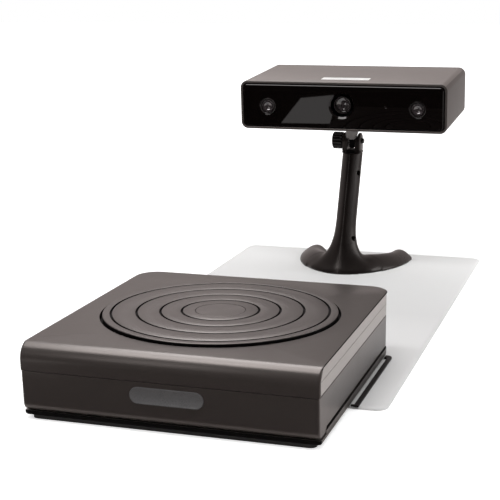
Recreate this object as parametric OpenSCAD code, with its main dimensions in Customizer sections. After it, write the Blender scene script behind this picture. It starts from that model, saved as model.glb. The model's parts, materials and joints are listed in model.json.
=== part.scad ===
// Desktop structured-light 3D scanner: a motor-driven turntable, a sheet that
// sets the distance, and a scanner head that tilts on a leaning stand.
// The origin is on the table top, in the middle of the whole set. X runs to the
// right, Y runs from the turntable to the stand, Z is up. All sizes are in mm.

/* [Whole set] */
// Length from the turntable's front to the head's back
set_l = 590; // [560:1:630]
// How far the head's back reaches past the sheet's back edge
head_over = 14; // [8:0.5:20]
// Sideways place of the platter's axis
table_x = -3; // [-8:0.5:0]

/* [Turntable housing] */
// Width of the housing
box_w = 210; // [200:1:230]
// Depth of the housing
box_d = 223; // [215:1:240]
// Distance from the front face to the platter's axis
axis_back = 114; // [112:0.5:118]
// Height of the deck above the table top
deck_z = 54; // [52:0.5:62]
// Depth of the upper shell, from the deck to the seam
upper_h = 18.6; // [16:0.2:20]
// Height of the groove between the lower shell and the tray
groove_z = 9.5; // [9:0.1:11]
// Width of that groove
groove_w = 1.3; // [0.8:0.1:2]
// Distance from the front face to the front end of the groove
groove_start = 18; // [14:0.5:30]
// Wall of both shells
shell_t = 2.4; // [1.8:0.1:3]
// Radius where the deck rolls over into the front face
front_top_r = 11; // [8:0.5:14]
// Radius at the foot of the front face
front_low_r = 7; // [5:0.5:9]
// How far the front face leans back at its foot
front_lean = 1.5; // [0:0.1:3]
// Height of the lowest point of the front face
front_low_z = 6; // [5.5:0.1:7]
// Plan radius of the two rear corners
rear_r = 17.5; // [12:0.5:24]

/* [Turntable base] */
// Ground clearance under the tray
tray_z = 2.6; // [2.3:0.1:4]
// Thickness of the tray's floor
tray_t = 2; // [1.5:0.1:3]
// How far the tray's front edge is set back from the front face
tray_front_back = 5; // [4:0.5:8]
// Radius of the tray's two front corners
tray_front_r = 9; // [4:0.5:12]
// Radius of a rear foot
foot_r = 8; // [6:0.5:10]
// Depth of the feet's seats in the tray
foot_seat = 1; // [0.5:0.1:1.4]
// Distance from the housing's side to a rear foot's centre
foot_in = 19; // [15:1:24]
// Depth of the long foot under the tray's front edge
toe_d = 11; // [8:0.5:16]
// Reach of the slotted flange beyond the housing's side
flange_out = 5.5; // [5:0.1:8]
// Width of the slot in the flange
flange_slot = 2.1; // [1.5:0.1:3]
// Thickness of the flange
flange_t = 1.4; // [1:0.1:3]
// Length of the flange
flange_l = 121; // [110:1:135]
// Radius of the flange's outer rear corner
flange_r = 5; // [2:0.1:5]

/* [Badges] */
// Width of the front badge
badge_w = 52; // [40:1:60]
// Height of the front badge
badge_h = 11.6; // [9:0.2:16]
// Thickness of the front badge
badge_t = 0.8; // [0.5:0.1:1.5]
// Height of the front badge's centre
badge_z = 26; // [22:0.5:27]
// Width of the blank plate on the head
top_badge_w = 50; // [40:1:60]
// Depth of the blank plate on the head
top_badge_d = 12; // [8:0.5:16]
// Distance from the head's front to the blank plate's centre
top_badge_y = 23; // [18:1:40]

/* [Platter] */
// Radius of the platter
platter_r = 87.5; // [80:0.5:90]
// Height of the platter above the deck
platter_up = 2; // [1:0.1:3]
// Thickness of the platter
platter_t = 5.5; // [4:0.1:6]
// Radial gap between the platter and the deck
platter_gap = 1.3; // [0.8:0.1:2]
// Running gap below the platter
platter_under = 1; // [0.5:0.1:1.5]
// Radius of the centre disc
disc_r = 18.2; // [14:0.1:22]
// Width of the ring grooves
ring_w = 1.1; // [0.8:0.1:1.6]
// Depth of the ring grooves
ring_d = 0.9; // [0.5:0.1:1.5]
// Radii of the ring grooves
ring_rs = [28.4, 44, 61.4, 80];

/* [Drive] */
// Tooth module of the gear pair
gear_m = 1.5; // [1.5]
// Teeth on the platter gear
gear_teeth = 60; // [60]
// Teeth on the motor pinion
pinion_teeth = 15; // [15]
// Face width of the gears
gear_t = 6; // [4:0.5:6]
// Play that thins each tooth
gear_play = 0.12; // [0.08:0.01:0.2]
// Radius of the spindle
spindle_r = 6; // [5:0.1:7]
// Radial running clearance of shafts in their bores
run_gap = 0.04; // [0.02:0.01:0.08]
// Wall of the bearing bush
bush_t = 2.5; // [2:0.1:4]
// Length of the bearing bush
bush_l = 12; // [9:0.5:13]
// Radius of the bearing housing's flange
bearing_flange_r = 20; // [16:0.5:24]
// Width of the square motor
motor_w = 35; // [32:0.5:38]
// Height of the motor
motor_h = 17; // [14:0.5:18]
// Thickness of the motor bracket
bracket_t = 2; // [1.5:0.1:3]
// Radius of the motor shaft
motor_shaft_r = 2.5; // [2:0.1:3]

/* [Sheet] */
// Width of the distance-setting sheet
sheet_w = 254; // [250:0.2:280]
// Length of the sheet
sheet_l = 490; // [480:0.5:500]
// Thickness of the sheet
sheet_t = 2; // [1:0.1:2.2]
// Radius of its front corners
sheet_front_r = 9; // [5:0.5:15]
// Radius of its back corners
sheet_back_r = 2; // [1:0.5:6]
// Gap round what stands in the sheet's openings
sheet_gap = 0.8; // [0.4:0.1:1.5]

/* [Stand] */
// Half the width of the crescent foot
cres_a = 58; // [50:1:65]
// Distance from the foot's front to the middle of its arms
cres_b = 84; // [76:1:88]
// Distance from the foot's front to the sheet's back edge
foot_from_back = 115; // [108:0.5:120]
// Half the width of the hollow between the arms
cres_ai = 31; // [26:1:36]
// Depth of the foot's front, from its edge to the hollow
cres_front = 44; // [38:1:50]
// Sweep of each arm, in degrees from straight ahead
arm_sweep = 101; // [92:1:106]
// Height of the arm at its tip
arm_tip_h = 12; // [9:0.5:15]
// Height of the arms' ridge at the pole, cut flat where the pole stands
arm_mid_h = 22; // [20:0.5:24]
// Height of the upright edge round the foot
foot_edge_h = 3; // [2:0.5:5]
// Distance from the foot's front to the pole's axis, at the table top
pole_in = 16.4; // [12:0.1:20]
// Lean of the pole, in mm back per mm of height
pole_lean = 0.392; // [0.3:0.002:0.45]
// Distance from the pole's axis line forward to the bolt
hinge_fwd = 5.5; // [2:0.1:8]
// Half the width of the pole
pole_a = 10.2; // [9:0.1:12]
// Half the depth of the pole
pole_b = 12; // [10:0.5:12.5]
// Height of the pole's top
pole_top = 117; // [100:1:120]
// Wall of the stand's two halves
stand_t = 2.5; // [2:0.1:3.5]
// Radius of the screw heads in the stand's side
stand_screw_r = 2.6; // [2:0.1:3]

/* [Tilt joint] */
// Height of the tilt bolt
hinge_z = 128.8; // [125:0.1:140]
// Thickness of the head's lug at the bolt
lug_t = 7; // [6:0.1:9]
// Width of the lug's root under the head
lug_root_w = 15; // [12:0.5:20]
// Side gap between the lug and each ear
ear_gap = 0.3; // [0.2:0.05:0.5]
// Thickness of an ear of the yoke
ear_t = 5.5; // [4.5:0.1:7]
// Radius of an ear round the bolt
ear_r = 8.4; // [7:0.1:9]
// Radius of the tilt bolt
bolt_r = 2.5; // [2:0.1:3]
// Radius of the knob
knob_r = 8.7; // [7:0.1:10]
// Width of the knob
knob_w = 10.5; // [8:0.5:14]
// Ribs round the knob
knob_ribs = 18; // [12:1:24]
// Distance from the bolt up to the head's underside
lug_drop = 18.5; // [16:0.5:24]
// Distance from the head's front to the bolt
lug_y = 46.8; // [42:0.2:60]
// Downward tilt of the head as it stands
head_tilt = 3.9; // [0:0.1:8]

/* [Head] */
// Width of the head
head_w = 207.2; // [200:0.1:225]
// Height of the head
head_h = 48; // [46:0.1:56]
// Depth of the head
head_d = 115.8; // [112:0.1:130]
// Radius of its long edges
head_r = 7; // [6:0.5:10]
// Wall of the sleeve
sleeve_t = 2.2; // [1.6:0.1:2.6]
// Width of the bezel at each end
bezel_side = 2.6; // [2:0.1:4]
// Width of the bezel above and below
bezel_band = 4; // [3:0.1:5]
// Depth of the bezel frame
bezel_d = 5; // [4:0.5:7]
// Thickness of the front glass
glass_t = 2; // [1.5:0.1:2.5]
// How far the glass lies behind the bezel's face
glass_in = 0.8; // [0.3:0.1:1.5]
// Distance from the projector to each camera
lens_x = 75.2; // [65:0.1:76]
// Height of the projector lens above the head's middle
projector_z = 1.2; // [0:0.1:2]
// Radius of a camera barrel
cam_r = 8; // [6:0.1:9]
// Radius of a camera's front element
cam_lens_r = 5.4; // [4:0.1:6]
// Length of a camera barrel
cam_l = 22; // [16:0.5:26]
// Radius of the projector barrel
proj_r = 8.8; // [7:0.1:10]
// Radius of the hole in the glass round the projector
proj_hole_r = 11.4; // [10.5:0.1:13]
// Sideways place of the sensor window
sensor_x = 44; // [35:0.5:50]
// Radius of the sensor window
sensor_r = 1.2; // [1:0.1:2]
// Thickness of the chassis plate
chassis_t = 2; // [1.5:0.1:3]
// Thickness of circuit boards
board_t = 1.6; // [1:0.1:2]
// Thickness of the rear cover
rear_t = 3; // [2:0.1:4]
// Width of the square fan
fan_w = 30; // [25:0.5:34]
// Depth of the fan
fan_d = 8; // [6:0.5:10]
// Radius of the power button
button_r = 5; // [4:0.1:6]
// Travel of the power button
button_travel = 1.2; // [0.8:0.1:2]

/* [Hidden] */
$fn = 64;
eps = 0.01;

// ---------- places ----------
table_y = -set_l / 2 + axis_back;
front_y = -axis_back;
back_y = box_d - axis_back;
seam_z = deck_z - upper_h;
seam_gap = 0.3;
sheet_back = set_l / 2 - head_over;
foot_y = sheet_back - foot_from_back;
pole_y0 = foot_y + pole_in;
hinge_y = pole_y0 + pole_lean * hinge_z - hinge_fwd;
sheet_y = sheet_back - sheet_l;
pad_t = 0.5;
pole_angle = atan(pole_lean);
seat_z = 15;
pole_r = 8;
stand_screw_zs = [34, 97];
stand_screw_x = 5;

// ---------- turntable stack ----------
recess_z = deck_z + platter_up - platter_t - platter_under;
recess_t = 2;
bearing_top = recess_z - recess_t;
bearing_flange_t = 3;
thrust_gap = 0.05;
bush_r = spindle_r + run_gap + bush_t;
housing_r = bush_r + 4;
gear_z = bearing_top - bush_l - 1 - gear_t;
spindle_low = gear_z - 1;
gear_pr = gear_m * gear_teeth / 2;
pinion_pr = gear_m * pinion_teeth / 2;
motor_angle = -135;
motor_x = (gear_pr + pinion_pr) * cos(motor_angle);
motor_y = (gear_pr + pinion_pr) * sin(motor_angle);
bracket_z = gear_z - 1.5 - bracket_t;
tray_top = tray_z + tray_t;
tray_front = front_y + tray_front_back;
post_r = 4;
post_top = seam_z - 4;
screw_r = 1.5;
post_blend = 0.5; // how far a web runs into its post
flange_gap = 0.3; // each flange stands this clear of the tray
shell_in = 1; // how far a web stops inside the outer face
screw_head_r = 3;
foot_xs = box_w / 2 - foot_in;
toe_in = 0.6;
foot_back = back_y - foot_in - 4;
post_x = box_w / 2 - 14;
post_ys = [front_y + 40, 0, back_y - 52];
socket_w = 12;
socket_h = 11;
socket_d = 16;
socket_x = 30;
board_z = tray_top + 6;
board_y = back_y - shell_t - 1 - 40;

// ---------- head ----------
glass_w = head_w - 2 * bezel_side;
glass_h = head_h - 2 * bezel_band;
inner_w = head_w - 2 * sleeve_t;
inner_h = head_h - 2 * sleeve_t;
part_gap = 0.2;
chassis_y = glass_in + glass_t + 28;
lens_z = -0.8;
lens_seat = glass_in + 4.2;
lens_round = 12;
proj_front = glass_in + 2.5;
proj_seat = proj_front + 8;
rear_y = head_d - rear_t;
engine_w = 44;
engine_h = 30;
engine_y = chassis_y + chassis_t;
engine_d = 34;
head_socket_x = 58;
button_x = 41;
light_x = 30;
jack_x = 76;
jack_w = 9;
jack_r = 3.1;

// ---------- shared shapes ----------
function arc(cx, cy, r, a0, a1, n) =
    [for (i = [0:n]) let (a = a0 + (a1 - a0) * i / n) [cx + r * cos(a), cy + r * sin(a)]];

module round_rect(w, h, r) {
    square([w - 2 * r, h], center = true);
    square([w, h - 2 * r], center = true);
    for (sx = [-1, 1], sy = [-1, 1])
        translate([sx * (w / 2 - r), sy * (h / 2 - r)]) circle(r);
}

// A tube along Y, from y0 to y0 + l, centred on x and z.
module along_y(x, y0, z, r, l) translate([x, y0, z]) rotate([-90, 0, 0]) cylinder(r = r, h = l);

// A tube along X, from x0 to x0 + l.
module along_x(x0, y, z, r, l) translate([x0, y, z]) rotate([0, 90, 0]) cylinder(r = r, h = l);

// A rounded slab standing in the XZ plane, from y0 to y0 + l.
module slab_y(w, h, r, y0, l)
    translate([0, y0, 0]) rotate([90, 0, 0]) mirror([0, 0, 1]) linear_extrude(l) round_rect(w, h, r);

function middle(ring) = [for (c = [0:2]) [for (p = ring) p[c]] * [for (p = ring) 1] / len(ring)];

// Closed skin over rings that all have the same number of points.
module skin(rings) {
    n = len(rings[0]);
    m = len(rings);
    side = [for (i = [0:m - 2], j = [0:n - 1]) let (k = (j + 1) % n)
        each [[i * n + j, (i + 1) * n + j, (i + 1) * n + k], [i * n + j, (i + 1) * n + k, i * n + k]]];
    first = [for (j = [0:n - 1]) [m * n, j, (j + 1) % n]];
    last = [for (j = [0:n - 1]) [m * n + 1, (m - 1) * n + (j + 1) % n, (m - 1) * n + j]];
    polyhedron(points = concat([for (r = rings) each r], [middle(rings[0]), middle(rings[m - 1])]),
        faces = concat(side, first, last));
}

// ---------- gears ----------
function involute(rb, t) = [rb * (cos(t) + t * PI / 180 * sin(t)), rb * (sin(t) - t * PI / 180 * cos(t))];
function turned(p, a) = [p[0] * cos(a) - p[1] * sin(a), p[0] * sin(a) + p[1] * cos(a)];
function roll_at(rb, r) = sqrt(max(0, r * r / rb / rb - 1)) * 180 / PI;
function polar_of(p) = atan2(p[1], p[0]);

function gear_points(m, z, play, steps = 3) =
    let (rp = m * z / 2, rb = rp * cos(20), ra = rp + 0.95 * m, rf = rp - 1.2 * m,
         at_pitch = polar_of(involute(rb, roll_at(rb, rp))),
         half = 90 / z - play / rp / 2 * 180 / PI,
         r0 = max(rb, rf))
    [for (k = [0:z - 1]) let (c = 360 * k / z)
        each concat(
            [turned([rf, 0], c - half - at_pitch)],
            [for (i = [0:steps]) let (r = r0 + (ra - r0) * i / steps, p = involute(rb, roll_at(rb, r)))
                turned(p, c - half - at_pitch)],
            [for (i = [steps:-1:0]) let (r = r0 + (ra - r0) * i / steps, p = involute(rb, roll_at(rb, r)))
                turned([p[0], -p[1]], c + half + at_pitch)],
            [turned([rf, 0], c + half + at_pitch)])];

// ---------- turntable ----------
module on_table() translate([table_x, table_y, 0]) children();

module table_plan(inset = 0) {
    w = box_w / 2 - inset;
    r = rear_r - inset;
    yb = back_y - inset;
    translate([-w, front_y - 1]) square([2 * w, yb - r - front_y + 1]);
    translate([-w + r, front_y - 1]) square([2 * w - 2 * r, yb - front_y + 1]);
    for (s = [-1, 1]) translate([s * (w - r), yb - r]) circle(r);
}

function side_profile(inset) = concat(
    arc(front_y + front_top_r, deck_z - front_top_r, front_top_r - inset, 90, 178, 12),
    arc(front_y + front_lean + front_low_r, front_low_z + front_low_r, front_low_r - inset, 184, 270, 9),
    [[back_y + 1, front_low_z + inset], [back_y + 1, deck_z - inset]]);

module housing(inset, low) {
    intersection() {
        translate([0, 0, low]) linear_extrude(deck_z) table_plan(inset);
        rotate([90, 0, 90]) translate([0, 0, -box_w / 2 - 1 + inset])
            linear_extrude(box_w + 2 - 2 * inset) polygon(side_profile(inset));
    }
}

module post(x, y, z0, z1, r, bore) translate([x, y, z0]) difference() {
    cylinder(r = r, h = z1 - z0);
    translate([0, 0, -eps]) cylinder(r = bore, h = z1 - z0 - 2);
}

module top_shell() color("#6e6865") on_table() {
    difference() {
        union() {
            difference() {
                housing(0, 0);
                housing(shell_t, -1);
            }
            intersection() {
                housing(1, 0);
                translate([0, 0, recess_z - recess_t])
                    cylinder(r = platter_r + platter_gap + shell_t, h =
                        deck_z - recess_z + recess_t - 1, $fn = 160);
            }
            for (s = [-1, 1], y = post_ys) translate([s * post_x, y, post_top + 0.2])
                cylinder(r = post_r, h = deck_z - 1 - post_top - 0.2);
        }
        translate([0, 0, -1]) linear_extrude(seam_z + 1) difference() {
            square(3 * box_w, center = true);
            for (s = [-1, 1], y = post_ys) translate([s * post_x, y]) circle(post_r);
        }
        translate([0, 0, -1]) linear_extrude(post_top + 1.2) square(3 * box_w, center = true);
        translate([0, 0, recess_z]) cylinder(r = platter_r + platter_gap, h = 20, $fn = 160);
        cylinder(r = housing_r + part_gap, h = deck_z);
        for (a = [45:90:315]) rotate(a) translate([bearing_flange_r - 3.5, 0, 0])
            cylinder(r = screw_r, h = deck_z);
    }
}

module lower_shell() color("#3a3634") on_table() {
    difference() {
        union() {
            difference() {
                housing(0, 0);
                housing(shell_t, -1);
                translate([0, 0, -1]) linear_extrude(front_low_z + shell_t + 1.1)
                    translate([-box_w / 2 + shell_t, front_y + front_lean + front_low_r])
                        square([box_w - 2 * shell_t, box_d]);
            }
            for (s = [-1, 1], y = post_ys) post(s * post_x, y, tray_top, post_top, post_r, screw_r);
            for (s = [-1, 1], y = post_ys) translate([s > 0 ? post_x + post_r - post_blend : shell_in -
                box_w / 2, y - 1, groove_z + 3])
                cube([box_w / 2 - shell_in - post_x - post_r + post_blend, 2, seam_z - groove_z - 8]);
        }
        translate([0, 0, seam_z - seam_gap]) linear_extrude(2 * deck_z) square(3 * box_w, center = true);
        translate([-box_w, front_y + groove_start, -1]) difference() {
            cube([2 * box_w, 2 * box_d, 1 + groove_z + groove_w / 2]);
            for (s = [-1, 1], y = post_ys)
                translate([box_w + s * post_x, y - front_y - groove_start, 0])
                    cylinder(r = post_r + 1, h = 30);
        }
        translate([socket_x - socket_w / 2 - part_gap, back_y - 10, board_z + board_t - part_gap])
            cube([socket_w + 2 * part_gap, 20, socket_h + 2 * part_gap]);
    }
}

module tray_front_outline() {
    r = tray_front_r;
    translate([-box_w / 2, tray_front + r]) square([box_w, box_d]);
    translate([-box_w / 2 + r, tray_front]) square([box_w - 2 * r, box_d]);
    for (s = [-1, 1]) translate([s * (box_w / 2 - r), tray_front + r]) circle(r);
}

module base_tray() color("#5a5552") on_table() {
    skirt = groove_z - groove_w / 2 - tray_z;
    difference() {
        union() {
            intersection() {
                translate([0, 0, tray_z]) linear_extrude(tray_t) table_plan();
                linear_extrude(deck_z) tray_front_outline();
            }
            difference() {
                intersection() {
                    translate([0, 0, tray_z]) linear_extrude(skirt) table_plan();
                    translate([-box_w, front_y + groove_start + 0.5, 0])
                        cube([2 * box_w, 2 * box_d, deck_z]);
                }
                linear_extrude(deck_z) table_plan(shell_t);
            }
        }
        for (s = [-1, 1]) translate([s * foot_xs, foot_back, tray_z - eps])
            cylinder(r = foot_r + part_gap, h = foot_seat + eps);
        translate([0, 0, tray_z - eps]) linear_extrude(foot_seat + eps) toe_outline(toe_in);
        for (s = [-1, 1], y = post_ys) translate([s * post_x, y, 0]) {
            cylinder(r = screw_r + part_gap, h = 20);
            cylinder(r = screw_head_r + part_gap, h = tray_z + 1);
        }
    }
    for (x = [-1, 1], y = [4, 36]) translate([socket_x + x * 24, board_y + y, tray_top - eps])
        cylinder(r = 3, h = board_z - tray_top + eps);
}

module base_screws() color("#8d8d8d") on_table()
    for (s = [-1, 1], y = post_ys) translate([s * post_x, y, tray_z + 1]) {
        translate([0, 0, -0.9]) cylinder(r = screw_head_r, h = 0.9);
        translate([0, 0, -eps]) cylinder(r = screw_r - 0.02, h = 12);
    }

// The long front foot, with round ends; inset is the clearance round its seat.
module toe_outline(inset) {
    r = toe_d / 2 - inset;
    x = box_w / 2 - tray_front_r;
    translate([-x, tray_front + toe_d / 2 - r]) square([2 * x, 2 * r]);
    for (s = [-1, 1]) translate([s * x, tray_front + toe_d / 2]) circle(r);
}

module rubber_feet() color("#191919") on_table() {
    for (s = [-1, 1]) translate([s * foot_xs, foot_back, 0]) cylinder(r = foot_r, h = tray_z + foot_seat);
    linear_extrude(tray_z + foot_seat) toe_outline(toe_in + part_gap);
}

module flange_loop() {
    r = flange_r;
    x0 = box_w / 2 + flange_gap;
    y0 = sheet_y - table_y;
    difference() {
        translate([x0, y0, 0]) linear_extrude(flange_t) {
            square([flange_out, flange_l - r]);
            square([flange_out - r, flange_l]);
            translate([flange_out - r, flange_l - r]) circle(r);
        }
        translate([x0 - 1, y0 + 1.6, -1]) cube([flange_slot + 1 - flange_gap, flange_l - 8.5, 10]);
        translate([x0 - r, y0 - 1, -1]) cube([r, flange_l + 2, 10]); // the tray's side of the rear corner
    }
}

module locating_flanges() color("#23201f") on_table() translate([0, 0, sheet_t])
    for (s = [0, 1]) mirror([s, 0, 0]) flange_loop();

module front_badge() color("#55565a") on_table() {
    slope = atan(front_lean / (deck_z - front_top_r - front_low_r - front_low_z));
    face = front_y + front_lean * (deck_z - front_top_r - badge_z)
        / (deck_z - front_top_r - front_low_r - front_low_z);
    translate([-table_x / 3, face, badge_z]) rotate([90 + slope, 0, 0])
        linear_extrude(badge_t) round_rect(badge_w, badge_h, badge_h / 2 - eps);
}

module ring_groove(r, z, h) translate([0, 0, z]) rotate_extrude($fn = 120)
    translate([r - ring_w / 2, 0]) square([ring_w, h]);

module platter() color("#6a6462") on_table() {
    z0 = deck_z + platter_up - platter_t;
    difference() {
        translate([0, 0, z0]) rotate_extrude($fn = 160) polygon([
            [spindle_r + 6, 0], [platter_r - 1, 0], [platter_r, 1], [platter_r, platter_t - 1.2],
            [platter_r - 0.4, platter_t - 0.4], [platter_r - 1.2, platter_t],
            [disc_r + 0.15, platter_t], [disc_r + 0.15, platter_t - 1.5], [spindle_r + 6,
                platter_t - 1.5]]);
        for (r = ring_rs) ring_groove(r, deck_z + platter_up - ring_d, ring_d + 1);
    }
}

module centre_disc() color("#6a6462") on_table()
    translate([0, 0, deck_z + platter_up - 1.5]) cylinder(r = disc_r, h = 1.5);

module spindle() color("#b9bcc0") on_table() {
    z0 = deck_z + platter_up - platter_t;
    translate([0, 0, spindle_low]) cylinder(r = spindle_r, h = z0 - spindle_low + 1);
    translate([0, 0, z0]) cylinder(r = spindle_r + 6, h = platter_t - 1.5);
}

module platter_gear() color("#d9d6cc") on_table() translate([0, 0, gear_z]) difference() {
    union() {
        linear_extrude(gear_t) polygon(gear_points(gear_m, gear_teeth, gear_play));
        translate([0, 0, -1]) cylinder(r = spindle_r + 6, h = 2);
    }
    translate([0, 0, -2]) cylinder(r = spindle_r + 0.02, h = 20);
    for (a = [0:60:300]) rotate(a) translate([27, 0, -1]) cylinder(r = 9, h = 20);
}

module bearing_housing() color("#a9adb1") on_table() difference() {
    union() {
        translate([0, 0, bearing_top - bush_l]) cylinder(r = housing_r, h = bush_l + recess_t);
        translate([0, 0, bearing_top - bearing_flange_t]) cylinder(r = bearing_flange_r, h =
            bearing_flange_t);
    }
    translate([0, 0, bearing_top - bush_l - 1]) cylinder(r = bush_r, h = bush_l + 10);
    for (a = [45:90:315]) rotate(a) translate([bearing_flange_r - 3.5, 0, 0])
        cylinder(r = screw_r, h = deck_z);
}

module bearing_bush() color("#c49a4a") on_table() translate([0, 0, bearing_top - bush_l]) difference() {
    cylinder(r = bush_r, h = bush_l + recess_t + platter_under - thrust_gap);
    translate([0, 0, -1]) cylinder(r = spindle_r + run_gap, h = bush_l + 10);
}

module at_motor() on_table() translate([motor_x, motor_y, 0]) children();

module motor() color("#3b3d40") at_motor() {
    difference() {
        translate([0, 0, bracket_z - motor_h]) linear_extrude(motor_h) round_rect(motor_w, motor_w, 4);
        translate([0, 0, bracket_z - motor_h + 2]) cylinder(r = motor_shaft_r + run_gap, h = motor_h + 10);
    }
    translate([0, 0, bracket_z - eps]) difference() {
        cylinder(r = 11, h = bracket_t);
        translate([0, 0, -1]) cylinder(r = motor_shaft_r + run_gap, h = 10);
    }
}

module motor_bracket() color("#9fa3a6") at_motor() {
    w = motor_w + 8;
    difference() {
        translate([-w / 2, -motor_w / 2, bracket_z]) cube([w, motor_w, bracket_t]);
        translate([0, 0, bracket_z - 1]) cylinder(r = 11.1, h = 10);
        for (a = [45:90:315]) rotate(a) translate([motor_w / 2 * sqrt(2) - 6.5, 0, bracket_z - 1])
            cylinder(r = screw_r, h = 10);
    }
    for (s = [-1, 1]) translate([s * (w / 2 - bracket_t / 2) - bracket_t / 2, -motor_w / 2, tray_top])
        cube([bracket_t, motor_w, bracket_z - tray_top + eps]);
}

module motor_pinion() color("#c9ccd0") at_motor() {
    translate([0, 0, gear_z]) rotate(motor_angle + 180) linear_extrude(gear_t)
        polygon(gear_points(gear_m, pinion_teeth, gear_play));
    translate([0, 0, bracket_z - motor_h + 2.3]) cylinder(r = motor_shaft_r, h =
        gear_z + gear_t + 1 - bracket_z + motor_h - 2.3);
}

module table_board() color("#2c6b3c") on_table()
    translate([socket_x - 30, board_y, board_z]) cube([60, 40, board_t]);

module socket_shell(w, h, d) difference() {
    cube([w, d, h]);
    translate([1.2, 2, 1.2]) cube([w - 2.4, d, h - 2.4]);
}

module table_socket() color("#b9bcc0") on_table()
    translate([socket_x - socket_w / 2, back_y - socket_d - 0.6, board_z + board_t])
        socket_shell(socket_w, socket_h, socket_d);

// ---------- sheet ----------
module sheet_outline() {
    r = sheet_front_r;
    q = sheet_back_r;
    translate([-sheet_w / 2, r]) square([sheet_w, sheet_l - r - q]);
    translate([-sheet_w / 2 + r, 0]) square([sheet_w - 2 * r, r + 1]);
    translate([-sheet_w / 2 + q, sheet_l - q - 1]) square([sheet_w - 2 * q, q + 1]);
    for (s = [-1, 1]) {
        translate([s * (sheet_w / 2 - r), r]) circle(r);
        translate([s * (sheet_w / 2 - q), sheet_l - q]) circle(q);
    }
}

module positioning_sheet() color("#d3d5d4") difference() {
    translate([0, sheet_y, 0]) linear_extrude(sheet_t) sheet_outline();
    translate([0, 0, -1]) linear_extrude(10) {
        polygon(crescent(-sheet_gap));
        for (s = [-1, 1]) translate([table_x + s * foot_xs, table_y + foot_back])
            circle(foot_r + sheet_gap);
    }
}

// ---------- stand ----------
arm_steps = 18;
function sq_sin(a) = sign(sin(a)) * pow(abs(sin(a)), 1.05);
function outer_at(a, w) = [(cres_a - w) * sq_sin(a), foot_y + cres_b - (cres_b - w) * cos(a)
    * (1 - 0.06 * pow(sin(a), 2) * cos(a))];
function inner_at(a, w) = [(cres_ai + w) * sq_sin(a),
    foot_y + cres_b + 2 - (cres_b + 2 - cres_front + w) * cos(a)];
function sweep_at(i, w) = (arm_sweep - w * 1.2) * (2 * i / arm_steps - 1);
function crescent(w) = concat(
    [for (i = [0:arm_steps]) outer_at(sweep_at(i, w), w)],
    [for (i = [arm_steps:-1:0]) inner_at(sweep_at(i, w), w)]);
function ridge_h(a) = arm_tip_h + (arm_mid_h - arm_tip_h) * pow(max(0, cos(a * 90 / arm_sweep)), 1.5);
function screw_y(z) = pole_y0 + pole_lean * z + 2;

// One slice of an arm: up the outer edge, over the ridge, down to the hollow.
function arm_ring(i) =
    let (a = sweep_at(i, 0), o = outer_at(a, 0), n = inner_at(a, 0), h = ridge_h(a),
         tip = pow(abs(2 * i / arm_steps - 1), 14))
    concat(
        [[o[0], o[1], pad_t]],
        [for (k = [0:8]) let (u = k / 8)
            [o[0] + (n[0] - o[0]) * u, o[1] + (n[1] - o[1]) * u,
             min(seat_z, foot_edge_h + (h - foot_edge_h) * pow(sin(180 * pow(u, 0.8)), 0.75)
                 * (1 - 0.45 * tip))]],
        [[n[0], n[1], pad_t]]);

module stand_foot() color("#2c2928") skin([for (i = [0:arm_steps]) arm_ring(i)]);

module at_pole() translate([0, pole_y0, 0]) rotate([-pole_angle, 0, 0]) children();

module pole_solid(inset, low, high) intersection() {
    at_pole() translate([0, 0, -20]) linear_extrude(2 * pole_top)
        round_rect(2 * (pole_a - inset), 2 * (pole_b - inset), pole_r - inset);
    translate([-50, 0, low]) cube([100, set_l, high - low]);
}

module pole_half(s) difference() {
    union() {
        difference() {
            pole_solid(0, seat_z, pole_top);
            pole_solid(stand_t, seat_z + 5, pole_top - 14);
        }
        intersection() {
            pole_solid(1, seat_z, pole_top);
            for (z = stand_screw_zs) along_x(-30, screw_y(z), z, screw_r + 2.6, 60);
        }
    }
    translate([s > 0 ? -200 : 0, 0, -1]) cube([200, set_l, 200]);
    for (z = stand_screw_zs) along_x(-stand_screw_x - 0.5, screw_y(z), z, screw_r, 20);
    for (z = stand_screw_zs) along_x(stand_screw_x, screw_y(z), z, stand_screw_r + part_gap, 40);
    at_yoke() translate([0, 0, -9]) cylinder(r = 4, h = 20);
}

module pole_left() color("#2c2928") pole_half(-1);
module pole_right() color("#2c2928") pole_half(1);

module stand_screws() color("#8d8d8d") for (z = stand_screw_zs) {
    along_x(stand_screw_x, screw_y(z), z, stand_screw_r, 1.4);
    along_x(-stand_screw_x, screw_y(z), z, screw_r - 0.02, 2 * stand_screw_x + eps);
}

module foot_pads() color("#191919") linear_extrude(pad_t) polygon(crescent(1));

// ---------- tilt joint ----------
module at_yoke() translate([0, pole_y0 + pole_lean * pole_top, pole_top]) rotate([-pole_angle, 0, 0])
    children();

module yoke() color("#171615") {
    w = lug_t + 2 * ear_gap + 2 * ear_t;
    difference() {
        union() {
            for (s = [-1, 1]) along_x(s > 0 ? lug_t / 2 + ear_gap : -w / 2, hinge_y, hinge_z, ear_r, ear_t);
            for (s = [-1, 1]) translate([s > 0 ? lug_t / 2 + ear_gap : -w / 2, hinge_y - ear_r, pole_top])
                cube([ear_t, 2 * ear_r, hinge_z - pole_top]);
            translate([-w / 2, hinge_y - ear_r, pole_top]) cube([w, 2 * ear_r, 3]);
        }
        along_x(-20, hinge_y, hinge_z, bolt_r + run_gap, 40);
    }
    at_yoke() translate([0, 0, -8.8]) cylinder(r = 4 - 0.02, h = 9.5);
}

module tilt_bolt() color("#c9ccd0") {
    w = lug_t / 2 + ear_gap + ear_t;
    along_x(-w - 7.5, hinge_y, hinge_z, bolt_r, 2 * w + 7.5);
    along_x(w, hinge_y, hinge_z, 3.4, 1.2);
}

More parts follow.
